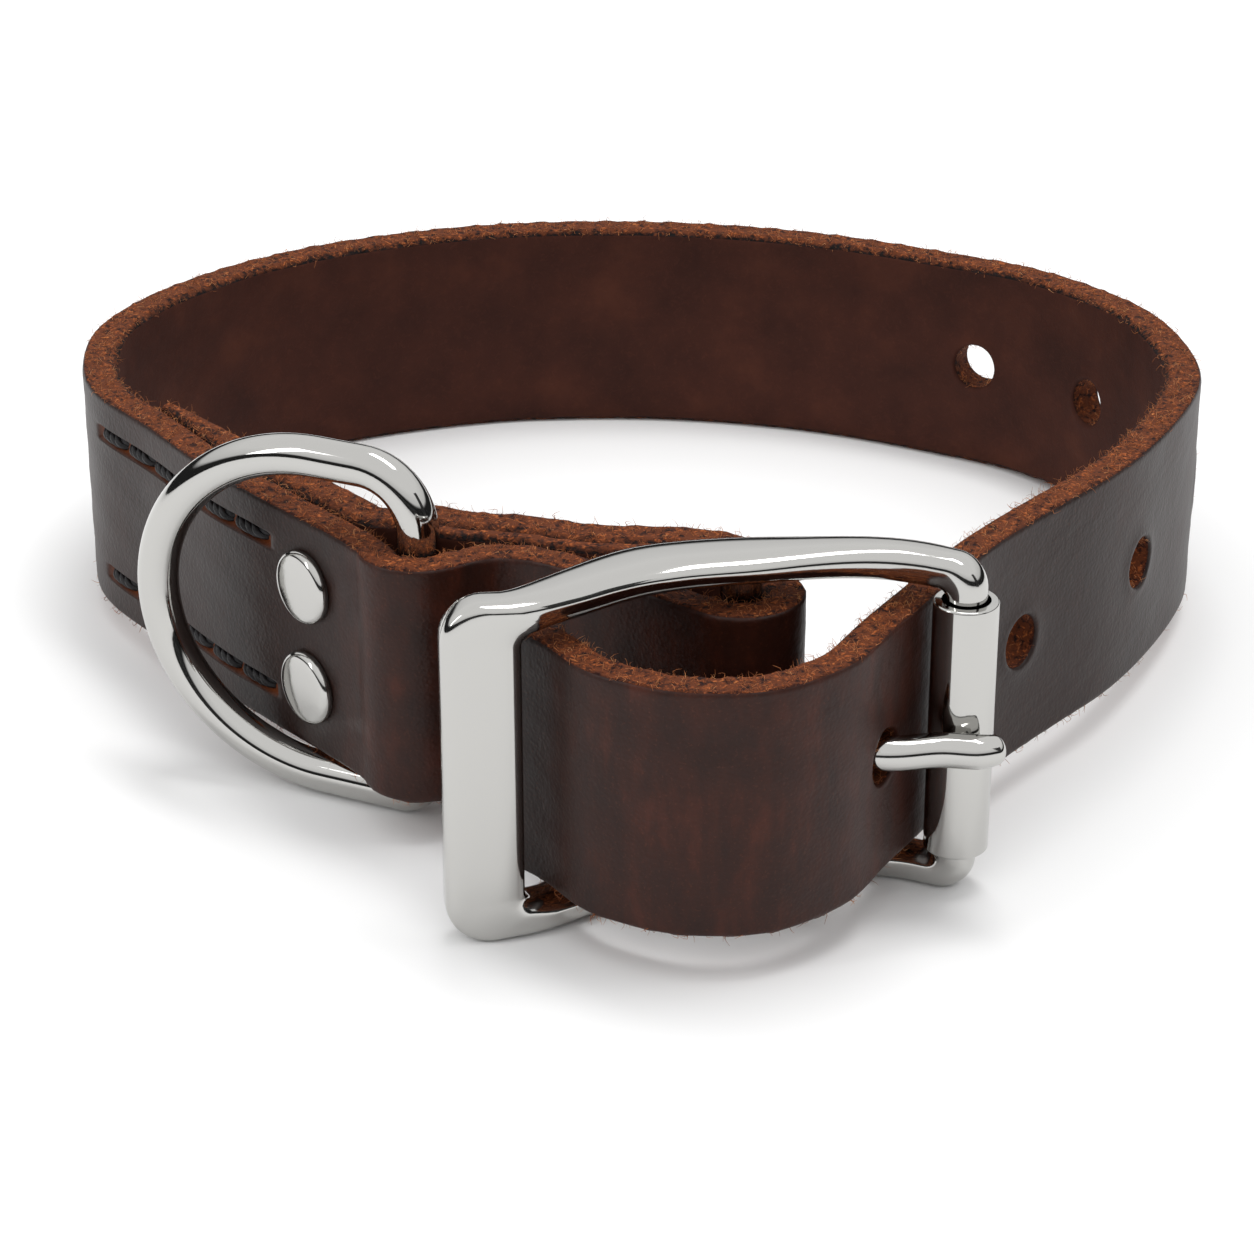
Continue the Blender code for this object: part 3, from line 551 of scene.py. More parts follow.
# %% Build a strip as one closed mesh
class SkinMesh:
    """Vertices in strap measure, faces and the zone of each face."""

    def __init__(self):
        self.points = []
        self.faces = []
        self.zones = []

    def add_points(self, rows):
        first = len(self.points)
        self.points.extend(rows)
        return list(range(first, len(self.points)))

    def face(self, ids, zone):
        self.faces.append(ids)
        self.zones.append(zone)


def hole_window(stations, widths, hole):
    """Grid index ranges of the square round a hole."""
    s_mid, v_mid, half_s, half_v, _ = hole
    margin = 2.2 * MM
    i0 = int(np.searchsorted(stations, s_mid - half_s - margin)) - 1
    i1 = int(np.searchsorted(stations, s_mid + half_s + margin))
    j0 = int(np.searchsorted(widths, v_mid - half_v - margin)) - 1
    j1 = int(np.searchsorted(widths, v_mid + half_v + margin))
    return i0, i1, j0, j1


def rim_point(hole, s, v):
    """The point on the hole's rim in the direction of a point outside it."""
    s_mid, v_mid, half_s, half_v, power = hole
    ds = (s - s_mid) / half_s
    dv = (v - v_mid) / half_v
    reach = (abs(ds) ** power + abs(dv) ** power) ** (1 / power)
    return s_mid + (s - s_mid) / reach, v_mid + (v - v_mid) / reach


def join_rows(skin, before, now, zone, turned=False):
    """Faces between two closed rows of points."""
    n = len(before)
    for m in range(n):
        quad = (before[m], before[(m + 1) % n], now[(m + 1) % n], now[m])
        skin.face(quad[::-1] if turned else quad, zone)


# %% The grid of a strip, left open at its holes
def skin_grid(skin, strip, stations, windows):
    """Lay the whole skin but the holes' squares. Returns vertex ids by station and point."""
    rows = [section(float(strip.at(s, strip.half))) for s in stations]
    zone_of = [row[2] for row in rows[0]]
    size = len(zone_of)
    ids = [skin.add_points([(s, v, h) for v, h, _ in row]) for s, row in zip(stations, rows)]

    def is_open(i, j):
        in_face = 0 <= j < LAST_WIDTH
        return in_face and any(i0 <= i < i1 and j0 <= j < j1 for i0, i1, j0, j1 in windows)

    for i in range(len(stations) - 1):
        for k in range(size):
            if is_open(i, k) or is_open(i, FLESH_FIRST + LAST_WIDTH - 1 - k):
                continue
            nxt = (k + 1) % size
            zone = "edge" if "edge" in (zone_of[k], zone_of[nxt]) else zone_of[k]
            skin.face((ids[i][k], ids[i + 1][k], ids[i + 1][nxt], ids[i][nxt]), zone)
    skin.face(tuple(ids[0]), "edge")
    skin.face(tuple(ids[-1][::-1]), "edge")
    return ids


# %% One hole: rings on both faces and the wall between them
def skin_hole(skin, strip, stations, ids, hole, window):
    i0, i1, j0, j1 = window
    widths = width_stations()
    loop = [(i, j0) for i in range(i0, i1)] + [(i1, j) for j in range(j0, j1)]
    loop += [(i, j1) for i in range(i1, i0, -1)] + [(i0, j) for j in range(j1, j0, -1)]
    square = [(stations[i], widths[j]) for i, j in loop]
    rims = [rim_point(hole, s, v) for s, v in square]
    half = float(strip.at(hole[0], strip.half))
    on_grain = [ids[i][j] for i, j in loop]
    on_flesh = [ids[i][FLESH_FIRST + LAST_WIDTH - j] for i, j in loop]
    rim_ids = {}
    for side, h, before in (("grain", half, on_grain), ("flesh", -half, on_flesh)):
        for share in RING_SHARES:
            now = skin.add_points([(s + (rs - s) * share, v + (rv - v) * share, h)
                                   for (s, v), (rs, rv) in zip(square, rims)])
            join_rows(skin, before, now, side, side == "flesh")
            before = now
        rim_ids[side] = before
    before = rim_ids["grain"]
    for level in WALL_LEVELS:
        now = skin.add_points([(s, v, half * level) for s, v in rims])
        join_rows(skin, before, now, "edge")
        before = now
    join_rows(skin, before, rim_ids["flesh"], "edge")


def build_strip(strip, stations, holes):
    skin = SkinMesh()
    windows = [hole_window(stations, width_stations(), hole) for hole in holes]
    ids = skin_grid(skin, strip, stations, windows)
    for hole, window in zip(holes, windows):
        skin_hole(skin, strip, stations, ids, hole, window)
    return skin


# %% Leather from a skin: lifts and dents, then space
def hole_rim(holes, s, v):
    """Lift of the leather round each punched hole."""
    lift = np.zeros(len(s))
    for s_mid, v_mid, half_s, half_v, power in holes:
        ds, dv = (s - s_mid) / half_s, (v - v_mid) / half_v
        reach = (abs(ds) ** power + abs(dv) ** power) ** (1 / power)
        away = np.clip((reach - 1.0) * min(half_s, half_v), 0.0, None) / (0.4 * MM)
        lift += RIM_LIFT * (away * np.exp(1 - away) - 0.6 * np.exp(-(away / 0.3) ** 2))
    return lift


def leather_object(name, strip, skin, holes, bend, materials, seed):
    s, v, h = np.array(skin.points).T
    half = strip.at(s, strip.half)
    on_grain = h > half - 1e-7
    on_flesh = h < -half + 1e-7
    on_side = ~on_grain & ~on_flesh & ((v > STRAP_WIDTH - 1e-7) | (v < 1e-7))
    h = h + 0.05 * MM * lumps(s / 5.0, v, seed) * (on_grain | on_flesh)
    rim = hole_rim(holes, s, v)
    h = h + on_grain * (rim - groove_depth(s, v)) - on_flesh * rim
    push = EDGE_NOISE * lumps(s, h, seed + 1) * on_side
    v = v + np.where(v > STRAP_WIDTH / 2, push, -push)
    mesh = bpy.data.meshes.new(name)
    spots = strip.place(s, v, h)
    spots[:, 2] = np.maximum(spots[:, 2], 0.02 * MM)
    mesh.from_pydata(spots, [], skin.faces)
    for material in materials:
        mesh.materials.append(material)
    zone = np.array([ZONES[z] for z in skin.zones])
    mesh.polygons.foreach_set("material_index", zone)
    corner = np.empty(len(mesh.loops), int)
    mesh.loops.foreach_get("vertex_index", corner)
    edge_corner = np.repeat(zone, [len(f) for f in skin.faces]) == ZONES["edge"]
    across = np.where(edge_corner, h[corner] + half[corner], v[corner])
    uv = mesh.uv_layers.new(name="strap")
    uv.data.foreach_set("uv", np.stack([s[corner], across], axis=1).ravel())
    mesh.attributes.new("bend", "FLOAT", "POINT").data.foreach_set("value", bend(s))
    lip = np.clip(groove_depth(s, v) / GROOVE_DEPTH * 1.6, 0.0, 1.0) * on_grain
    mesh.attributes.new("raw", "FLOAT", "POINT").data.foreach_set("value", lip)
    mesh.shade_smooth()
    mesh.set_sharp_from_angle(angle=math.radians(48))
    made = bpy.data.objects.new(name, mesh)
    bpy.context.scene.collection.objects.link(made)
    work = bmesh_of(mesh)
    open_edges = sum(not e.is_manifold for e in work.edges)
    print(name, "faces", len(mesh.polygons), "open edges", open_edges)
    work.free()
    return made


def bmesh_of(mesh):
    work = bmesh.new()
    work.from_mesh(mesh)
    return work


# %% Make the strap
def strap_bend(s):
    """Where hard bending has pulled the wax up: the free loop, the fold and the D-ring's bulge."""
    loop = smooth_step((s - 8 * MM) / (14 * MM)) * smooth_step((64 * MM - s) / (14 * MM))
    ring = smooth_step((s - marks["rivet"] - 2 * MM) / (9 * MM))
    ring = ring * smooth_step((marks["rivet"] + 60 * MM - s) / (9 * MM))
    return np.clip(0.85 * loop + 0.75 * ring + 0.12, 0.0, 1.0)


near_bar = (abs(fine_line[:, 0] - BAR[0] - STRAP_THICKNESS / 2) < SLOT_REACH + STRAP_THICKNESS / 2)
near_bar &= abs(fine_line[:, 1] - BAR[1]) < SLOT_REACH + STRAP_THICKNESS / 2
near_bar &= fine_run > marks["rivet"]
slot_run = fine_run[near_bar]
# Measured on the photo with the fitted camera, in mm from the tongue's hole. The fourth hole
# is hidden there and lies midway between its neighbours. The solids keep the even pitch.
HOLE_RUN = (0.0, 29.0, 53.5, 80.4, 107.4, 126.5)
holes = [(marks["hole"] + run * MM, STRAP_WIDTH / 2, HOLE_DIAMETER / 2, HOLE_DIAMETER / 2, 2.0)
         for run in HOLE_RUN]
holes.append(((slot_run[0] + slot_run[-1]) / 2, STRAP_WIDTH / 2,
              (slot_run[-1] - slot_run[0]) / 2, SLOT_WIDTH / 2, 8.0))
stations = np.linspace(0.0, LENGTH, int(LENGTH / STEP))
strap_skin = build_strip(strap, stations, holes)
strap_item = leather_object("strap_leather", strap, strap_skin, holes, strap_bend,
                            (grain, raw_edge, flesh), 5)
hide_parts("strap")
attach(strap_item, "collar")

filler_skin = build_strip(filler, np.linspace(0.0, filler.length, 30), [])
filler_item = leather_object("filler_leather", filler, filler_skin, [],
                             lambda s: 0 * s + 0.5, (flesh, raw_edge, flesh), 12)
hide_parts("filler")
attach(filler_item, "collar")

# %% [markdown]
# ## Bright metal
# The buckle is cast in zinc, its roller is drawn tube, and the ring is bent wire. All are
# polished and nickel plated, so they share one mirror-like finish with a trace of polishing
# unevenness. They are rebuilt as smooth sweeps and turned profiles.


# %% Nickel plate
def nickel_material(name, roughness):
    material, tree, shader = new_material(name)
    place = add(tree, "ShaderNodeTexCoord").outputs["Object"]
    haze = add(tree, NOISE, None, {"Vector": place, "Scale": per_mm(3.0), "Detail": 3.0,
                                   "Roughness": 0.55})
    rough = add(tree, "ShaderNodeMapRange", None,
                {"Value": haze, "To Min": roughness * 0.75, "To Max": roughness * 1.3})
    bump = add(tree, "ShaderNodeBump", None,
               {"Height": haze, "Strength": 0.10, "Distance": 0.00006})
    wire(tree, shader, {"Base Color": "#bdbcb9", "Metallic": 1.0, "Roughness": rough,
                        "Normal": bump})
    return material


casting = nickel_material("polished nickel plated casting", 0.08)
tube_metal = nickel_material("polished nickel plated tube", 0.07)
wire_metal = nickel_material("polished nickel plated wire", 0.06)
cap_metal = nickel_material("polished nickel plated cap", 0.10)


# %% Sweeps and turned shapes
def metal_object(name, rings, closed, material, body, node, smooth=40):
    """A skin over rings of points, welded shut, that stands for a node of the frame."""
    work = bmesh.new()
    rows = [[work.verts.new(p) for p in ring] for ring in rings]
    pairs = list(zip(rows, rows[1:] + rows[:1])) if closed else list(zip(rows, rows[1:]))
    n = len(rows[0])
    for a, b in pairs:
        for i in range(n):
            work.faces.new((a[i], a[(i + 1) % n], b[(i + 1) % n], b[i]))
    bmesh.ops.remove_doubles(work, verts=work.verts, dist=1e-7)
    bmesh.ops.holes_fill(work, edges=[e for e in work.edges if e.is_boundary], sides=0)
    bmesh.ops.recalc_face_normals(work, faces=work.faces)
    mesh = bpy.data.meshes.new(name)
    work.to_mesh(mesh)
    work.free()
    mesh.materials.append(material)
    mesh.shade_smooth()
    mesh.set_sharp_from_angle(angle=math.radians(smooth))
    made = bpy.data.objects.new(name, mesh)
    bpy.context.scene.collection.objects.link(made)
    if node:
        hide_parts(node)
    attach(made, body)
    print(name, "faces", len(mesh.polygons))
    return made


def sweep(points, radii, across, sides, closed):
    """Rings round a flat curve. across is the unit vector square to its plane."""
    p = np.array(points, float)
    run = np.roll(p, -1, axis=0) - np.roll(p, 1, axis=0) if closed else np.gradient(p, axis=0)
    run /= np.linalg.norm(run, axis=1)[:, None]
    side = np.cross(run, across)
    angle = np.linspace(0, 2 * np.pi, sides, endpoint=False)
    ring = np.cos(angle)[None, :, None] * side[:, None, :] + np.sin(angle)[None, :, None] * across
    return p[:, None, :] + np.array(radii)[:, None, None] * ring


def lathe(profile, origin, axis, sides):
    """Rings of a profile of (radius, height) turned about an axis."""
    turn = Vector(axis).to_track_quat("Z", "Y").to_matrix()
    angle = np.linspace(0, 2 * np.pi, sides, endpoint=False)
    rings = []
    for r, z in profile:
        rings.append([Vector(origin) + turn @ Vector((r * math.cos(a), r * math.sin(a), z))
                      for a in angle])
    return rings


# %% Buckle frame
def arm_line():
    rows = []
    for along, forward, depth, thick in ARMS:
        reach = ROLLER_FORWARD if along > 0 else KEEPER_FORWARD
        rows.append((sided(along), -forward * reach, depth * ARM_DEPTH, thick * ARM_THICKNESS))
    return spline(rows, 12)


arm = arm_line()
arm_run = run_length(arm[:, :2])


def on_arm(s):
    """Place in plan, forward normal and depth at a distance along the arms' line."""
    inner = float(np.clip(s, 0.0, arm_run[-1]))
    a, b = [np.array([np.interp(inner + d, arm_run, arm[:, k]) for k in (0, 1)])
            for d in (-ARM_DEPTH / 16, ARM_DEPTH / 16)]
    along = (b - a) / np.linalg.norm(b - a)
    spot = np.array([np.interp(inner, arm_run, arm[:, k]) for k in (0, 1)]) + along * (s - inner)
    return spot, np.array([along[1], -along[0]]), float(np.interp(inner, arm_run, arm[:, 2]))


def roof(s):
    return float(np.interp(s, arm_run, arm[:, 3]))


def frame_rows():
    """Outer and window points of the upper half of the frame, with the section's power."""
    half, top, length = KEEPER_WIDTH / 2, FRAME_HEIGHT, arm_run[-1]
    right, inner_right = length + ROLLER_BAR / 2, length - ROLLER_BAR / 2
    rows = []
    for angle in np.radians(np.linspace(180, 90, 12)):
        outer = (-half + KEEPER_CORNER * (1 + math.cos(angle)),
                 top - KEEPER_CORNER * (1 - math.sin(angle)))
        inner = (half + WINDOW_CORNER * (1 + math.cos(angle)),
                 top - roof(half) - WINDOW_CORNER * (1 - math.sin(angle)))
        rows.append((outer, inner, math.sin(angle), "corner"))
    for share in np.linspace(0.04, 0.96, 40):
        s_in = half + WINDOW_CORNER + share * (inner_right - BAR_FILLET - half - WINDOW_CORNER)
        s_out = -half + KEEPER_CORNER + share * (right - ROLLER_CORNER + half - KEEPER_CORNER)
        rows.append(((s_out, top), (s_in, top - roof(s_in)), 1.0, "arm"))
    for angle in np.radians(np.linspace(90, 0, 12)):
        outer = (right - ROLLER_CORNER * (1 - math.cos(angle)),
                 top - ROLLER_CORNER * (1 - math.sin(angle)))
        inner = (inner_right - BAR_FILLET * (1 - math.cos(angle)),
                 top - roof(inner_right) - BAR_FILLET * (1 - math.sin(angle)))
        rows.append((outer, inner, math.sin(angle), "bar"))
    return rows


def frame_ring(outer, inner, amount, kind):
    outer, inner = np.array(outer), np.array(inner)
    centre, half_wide = (outer + inner) / 2, (outer - inner) / 2
    _, _, depth = on_arm(centre[0])
    if kind == "bar":
        depth, power = ROLLER_BAR + (depth - ROLLER_BAR) * amount, 2.0 + 0.6 * amount
    elif kind == "corner":
        depth, power = KEEPER_DEPTH + (depth - KEEPER_DEPTH) * amount, 4.0
    else:
        power = 2.7
    ring = []
    for angle in np.radians(np.arange(32) * 11.25 + 5.625):
        c, s = math.cos(angle), math.sin(angle)
        spot = centre + half_wide * math.copysign(abs(c) ** (2 / power), c)
        foot, push, _ = on_arm(spot[0])
        flat = foot + push * math.copysign(abs(s) ** (2 / power), s) * depth / 2 + BAR
        ring.append((flat[0], flat[1], spot[1]))
    return ring


def flip(row):
    (a, b), (c, d), amount, kind = row
    return (a, FRAME_HEIGHT - b), (c, FRAME_HEIGHT - d), amount, kind


upper = frame_rows()
whole = upper + [flip(row) for row in reversed(upper)]
metal_object("buckle_casting", [frame_ring(*row) for row in whole], True, casting, "collar",
             "buckle_frame")
sink = 0.45 * ARM_THICKNESS
bar_profile = [(0.0, sink), (CENTRE_BAR / 2, sink), (CENTRE_BAR / 2, FRAME_HEIGHT - sink),
               (0.0, FRAME_HEIGHT - sink)]
metal_object("buckle_centre_bar", lathe(bar_profile, (*BAR, 0.0), (0, 0, 1), 40), False, casting,
             "collar", None)

# %% Roller, tongue, D-ring
roller_low = ARM_THICKNESS + BAR_FILLET + ROLLER_END_GAP
roller_high = FRAME_HEIGHT - roller_low
roller_out, roller_in = ROLLER_DIAMETER / 2, ROLLER_DIAMETER / 2 - ROLLER_WALL
LIP = 0.25 * MM
lip_arc = [(roller_out - LIP + LIP * math.sin(a), LIP * (1 - math.cos(a)))
           for a in np.linspace(0, math.pi / 2, 6)]
roller_profile = [(roller_in, roller_low)] + [(r, roller_low + z) for r, z in lip_arc]
roller_profile += [(r, roller_high - z) for r, z in reversed(lip_arc)] + [(roller_in, roller_high)]
roller_rings = lathe(roller_profile, (*ROLLER, 0.0), (0, 0, 1), 72)
metal_object("roller_tube", roller_rings, True, tube_metal, "roller_tube", "roller")


def tongue_path():
    eye_radius = CENTRE_BAR / 2 + RUN_GAP + TONGUE_EYE / 2
    eye = turn_points(np.zeros(2), eye_radius, 20, 250, 12)
    hole = np.array([sided(FREE_END[-1][0]), -FREE_END[-1][1] * FREE_LOOP_REACH])
    seat = ROLLER_DIAMETER / 2 + TONGUE_REST_GAP + TONGUE_DIAMETER / 2
    knee, over = [ROLLER - BAR + seat * np.array([math.cos(a), math.sin(a)])
                  for a in np.radians((246.0, 280.0))]
    tip = over + TONGUE_DIAMETER * np.array([0.62, 0.12])
    dip = (hole + knee) / 2 - np.array([0.0, 0.0004])
    shank = spline([eye[-1], (eye[-1] + hole) / 2, hole, dip, knee, over, tip], 12)
    line = np.concatenate([spline(eye, 4)[:-1], shank])
    radii = np.interp(np.arange(len(line)), (0, 44, 64, len(line) - 12, len(line) - 1),
                      (TONGUE_EYE, TONGUE_EYE, TONGUE_BULGE, TONGUE_BULGE, TONGUE_DIAMETER)) / 2
    return line + BAR, radii


tongue_line, tongue_radii = tongue_path()
tongue_z = FRONT_RISE + STRAP_WIDTH / 2
tongue_points = [(x, y, tongue_z) for x, y in tongue_line]
tongue_rings = sweep(tongue_points, tongue_radii, np.array([0.0, 0.0, 1.0]), 32, False)


def round_end(ring, centre, ahead, radius):
    """Rings that close an end with a low dome."""
    rings = []
    for a in np.linspace(0, math.pi / 2, 7)[1:]:
        rings.append(centre + (ring - centre) * math.cos(a) + ahead * radius * 0.7 * math.sin(a))
    return rings


tip_centre = np.array(tongue_points[-1])
tip_ahead = tip_centre - np.array(tongue_points[-2])
tip_ahead /= np.linalg.norm(tip_ahead)
tongue_all = list(tongue_rings)
tongue_all += round_end(tongue_rings[-1], tip_centre, tip_ahead, tongue_radii[-1])
metal_object("tongue_prong", tongue_all, False, casting, "collar", "tongue")

ring_half = (RING_HEIGHT - RING_WIRE) / 2


def ring_points():
    points = []
    top, low = RING_CORNER_TOP, RING_CORNER_LOW
    for angle in np.radians(np.linspace(180, 90, 14)):
        points.append((top * (1 + math.cos(angle)), ring_half - top * (1 - math.sin(angle))))
    for angle in np.radians(np.linspace(90, -90, 80)):
        points.append((RING_STRAIGHT + RING_BOW * math.cos(angle), ring_half * math.sin(angle)))
    for angle in np.radians(np.linspace(-90, -180, 14)):
        points.append((low * (1 + math.cos(angle)), -ring_half + low * (1 + math.sin(angle))))
    for share in (0.25, 0.5, 0.75):
        points.append((0.0, low - ring_half + share * (2 * ring_half - low - top)))
    return points


swing = np.array([math.cos(RING_ANGLE), math.sin(RING_ANGLE), 0.0])
ring_origin = np.array([*RING, ring_half + RING_WIRE / 2 + 0.0002])
ring_places = [ring_origin + swing * u + np.array([0.0, 0.0, v]) for u, v in ring_points()]
ring_rings = sweep(ring_places, [RING_WIRE / 2] * len(ring_places),
                   np.cross(swing, (0.0, 0.0, 1.0)), 32, True)
metal_object("d_ring_wire", list(ring_rings), True, wire_metal, "ring", "d_ring")


# %% Rivets
def rivet_profile():
    """A nearly flat cap with a thin rolled rim, its post, and the smaller back cap."""
    face = STRAP_THICKNESS / 2 + 0.0001
    back = -(STRAP_THICKNESS * 1.5 + LAYER_GAP + TOUCH_GAP)
    cap, under, post = RIVET_CAP / 2, RIVET_BACK_CAP / 2, 0.0015
    top = face + RIVET_CAP_THICKNESS
    rows = [(0.0, top), (cap * 0.4, top - 0.02 * MM), (cap * 0.72, top - 0.08 * MM)]
    rim = 0.75 * MM
    rows += [(cap - rim + rim * math.sin(a), top - 0.12 * MM - rim * (1 - math.cos(a)))
             for a in np.linspace(0.2, math.pi / 2, 8)]
    rows += [(cap - 0.1 * MM, face), (post, face), (post, back), (under, back),
             (under, back - 0.6 * MM), (under - 0.3 * MM, back - RIVET_CAP_THICKNESS),
             (0.0, back - RIVET_CAP_THICKNESS)]
    return rows


rivet_s = marks["rivet"]
rivet_out = strap.facing(rivet_s)
for name, sign in (("upper", 1), ("lower", -1)):
    centre = strap.place(rivet_s, STRAP_WIDTH / 2 + sign * RIVET_PITCH / 2, 0.0)
    metal_object("rivet_cap_" + name, lathe(rivet_profile(), centre, rivet_out, 48), False,
                 cap_metal, "collar", "rivet_" + name, 60)

# %% [markdown]
# ## Stitches and loose fibres
# Both repeat, so Geometry Nodes places them. A saddle stitch is thick twisted thread that comes
# up one hole and goes down the next, sunk in a groove so that it doesn't wear. Cut edges shed
# short curly fibres.


# %% Geometry Nodes helpers
def new_tree(name, sizes):
    tree = bpy.data.node_groups.new(name, "GeometryNodeTree")
    tree.interface.new_socket("Geometry", in_out="INPUT", socket_type="NodeSocketGeometry")
    for label, kind in sizes:
        tree.interface.new_socket(label, in_out="INPUT", socket_type=kind)
    tree.interface.new_socket("Geometry", in_out="OUTPUT", socket_type="NodeSocketGeometry")
    return tree, add(tree, "NodeGroupInput").outputs


def finish_tree(tree, instances, material):
    whole = add(tree, "GeometryNodeRealizeInstances", None, {"Geometry": instances})
    dressed = add(tree, "GeometryNodeSetMaterial", None, {"Geometry": whole, "Material": material})
    smooth = add(tree, "GeometryNodeSetShadeSmooth", None, {"Geometry": dressed})
    add(tree, "NodeGroupOutput", None, {"Geometry": smooth})


def grow(name, base, tree, values, material, body):
    """Run the nodes on a base mesh and keep the result as a plain mesh."""
    holder = bpy.data.objects.new(name + "_base", base)
    bpy.context.scene.collection.objects.link(holder)
    modifier = holder.modifiers.new("grow", "NODES")
    modifier.node_group = tree
    for socket in tree.interface.items_tree:
        if socket.in_out == "INPUT" and socket.name in values:
            modifier[socket.identifier] = values[socket.name]
    graph = bpy.context.evaluated_depsgraph_get()
    mesh = bpy.data.meshes.new_from_object(holder.evaluated_get(graph))
    bpy.data.objects.remove(holder, do_unlink=True)
    mesh.name = name
    mesh.materials.clear()
    mesh.materials.append(material)
    made = bpy.data.objects.new(name, mesh)
    bpy.context.scene.collection.objects.link(made)
    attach(made, body)
    print(name, "triangles", sum(len(p.vertices) - 2 for p in mesh.polygons))
    return made


# %% Thread
def thread_material():
    material, tree, shader = new_material("waxed black linen thread")
    place = add(tree, "ShaderNodeTexCoord").outputs["Object"]
    hair = add(tree, NOISE, None, {"Vector": place, "Scale": per_mm(0.16), "Detail": 3.0,
                                   "Roughness": 0.6})
    colour = add(tree, RAMP, {"stops": [(0.35, "#0b0a0b"), (0.75, "#2a282b")]}, {"Fac": hair})
    bump = add(tree, "ShaderNodeBump", None,
               {"Height": hair, "Strength": 0.6, "Distance": 0.00006})
    wire(tree, shader, {"Base Color": colour, "Normal": bump, "Roughness": 0.5,
                        "Specular IOR Level": 0.3})
    return material


thread = thread_material()
STITCH_PITCH = 6.3 * MM


def stitch_tree():
    tree, given = new_tree("stitches", [(label, "NodeSocketFloat")
                                        for label in ("Length", "Ply radius", "Turns", "Dip")])
    tau = add(tree, MATH, TIMES, {0: given["Turns"], 1: 2 * math.pi})
    half = add(tree, MATH, TIMES, {0: given["Length"], 1: 0.5})
    start = add(tree, VECTOR, None, {"X": add(tree, MATH, TIMES, {0: half, 1: -1.0})})
    stop = add(tree, VECTOR, None, {"X": half})
    line = add(tree, "GeometryNodeCurvePrimitiveLine", None, {"Start": start, "End": stop})
    line = add(tree, "GeometryNodeResampleCurve", None, {"Curve": line, "Count": 30})
    along = add(tree, "GeometryNodeSplineParameter").outputs["Factor"]
    both_ways = add(tree, MATH, MINUS, {0: add(tree, MATH, TIMES, {0: along, 1: 2.0}), 1: 1.0})
    edge = add(tree, MATH, {"operation": "ABSOLUTE"}, {0: both_ways})
    steep = add(tree, MATH, {"operation": "POWER"}, {0: edge, 1: 5.0})
    sag = add(tree, MATH, TIMES, {0: steep, 1: given["Dip"]})
    ring = add(tree, CIRCLE, None, {"Resolution": 8, "Radius": given["Ply radius"]})
    joined = add(tree, "GeometryNodeJoinGeometry")
    reach = add(tree, MATH, TIMES, {0: given["Ply radius"], 1: 0.98})
    for phase in (0.0, 2.0944, 4.1888):
        angle = add(tree, MATH, PLUS, {0: add(tree, MATH, TIMES, {0: along, 1: tau}), 1: phase})
        y, z = [add(tree, MATH, TIMES,
                    {0: add(tree, MATH, {"operation": how}, {0: angle}), 1: reach})
                for how in ("COSINE", "SINE")]
        move = add(tree, VECTOR, None, {"Y": y, "Z": add(tree, MATH, MINUS, {0: z, 1: sag})})
        ply = add(tree, "GeometryNodeSetPosition", None, {"Geometry": line, "Offset": move})
        body = add(tree, "GeometryNodeCurveToMesh", None,
                   {"Curve": ply, "Profile Curve": ring, "Fill Caps": True})
        tree.links.new(body.outputs[0], joined.inputs[0])
    x, z = [add(tree, "GeometryNodeInputNamedAttribute", {"data_type": "FLOAT_VECTOR"},
                {"Name": label}) for label in ("along", "out")]
    turn = add(tree, "FunctionNodeAxesToRotation", {"primary_axis": "X", "secondary_axis": "Z"},
               {0: x, 1: z})
    placed = add(tree, "GeometryNodeInstanceOnPoints", None,
                 {"Points": given["Geometry"], "Instance": joined, "Rotation": turn})
    finish_tree(tree, placed, thread)
    return tree


def stitch_points():
    spots, runs, outs = [], [], []
    for first, last in GROOVES:
        count = int((last - first) / STITCH_PITCH)
        near_rivet = last if last < marks["rivet"] else first
        way = -1 if last < marks["rivet"] else 1
        for k in range(count):
            s = near_rivet + way * (1.2 * MM + (k + 0.5) * STITCH_PITCH)
            for v in (GROOVE_INSET, STRAP_WIDTH - GROOVE_INSET):
                h = float(strap.at(s, strap.half)) - 0.62 * MM
                a, b = strap.place(s - MM, v, h), strap.place(s + MM, v, h)
                spots.append(strap.place(s, v, h))
                runs.append((b - a) / np.linalg.norm(b - a))
                outs.append(strap.facing(s))
    mesh = bpy.data.meshes.new("stitch_points")
    mesh.from_pydata(spots, [], [])
    for label, rows in (("along", runs), ("out", outs)):
        mesh.attributes.new(label, "FLOAT_VECTOR", "POINT").data.foreach_set(
            "vector", np.array(rows).ravel())
    return mesh


grow("stitches", stitch_points(), stitch_tree(),
     {"Length": STITCH_PITCH * 0.92, "Ply radius": 0.38 * MM, "Turns": 1.6, "Dip": 1.3 * MM},
     thread, "collar")


# %% Loose fibres on the cut edges
def fibre_material():
    material, tree, shader = new_material("loose leather fibre")
    place = add(tree, "ShaderNodeTexCoord").outputs["Object"]
    tone = add(tree, NOISE, None, {"Vector": place, "Scale": per_mm(1.2), "Detail": 2.0})
    colour = add(tree, RAMP, {"stops": [(0.35, "#7a3e1c"), (0.55, "#b46c3a"), (0.72, "#d69a66")]},
                 {"Fac": tone})
    wire(tree, shader, {"Base Color": colour, "Roughness": 0.8})
    return material


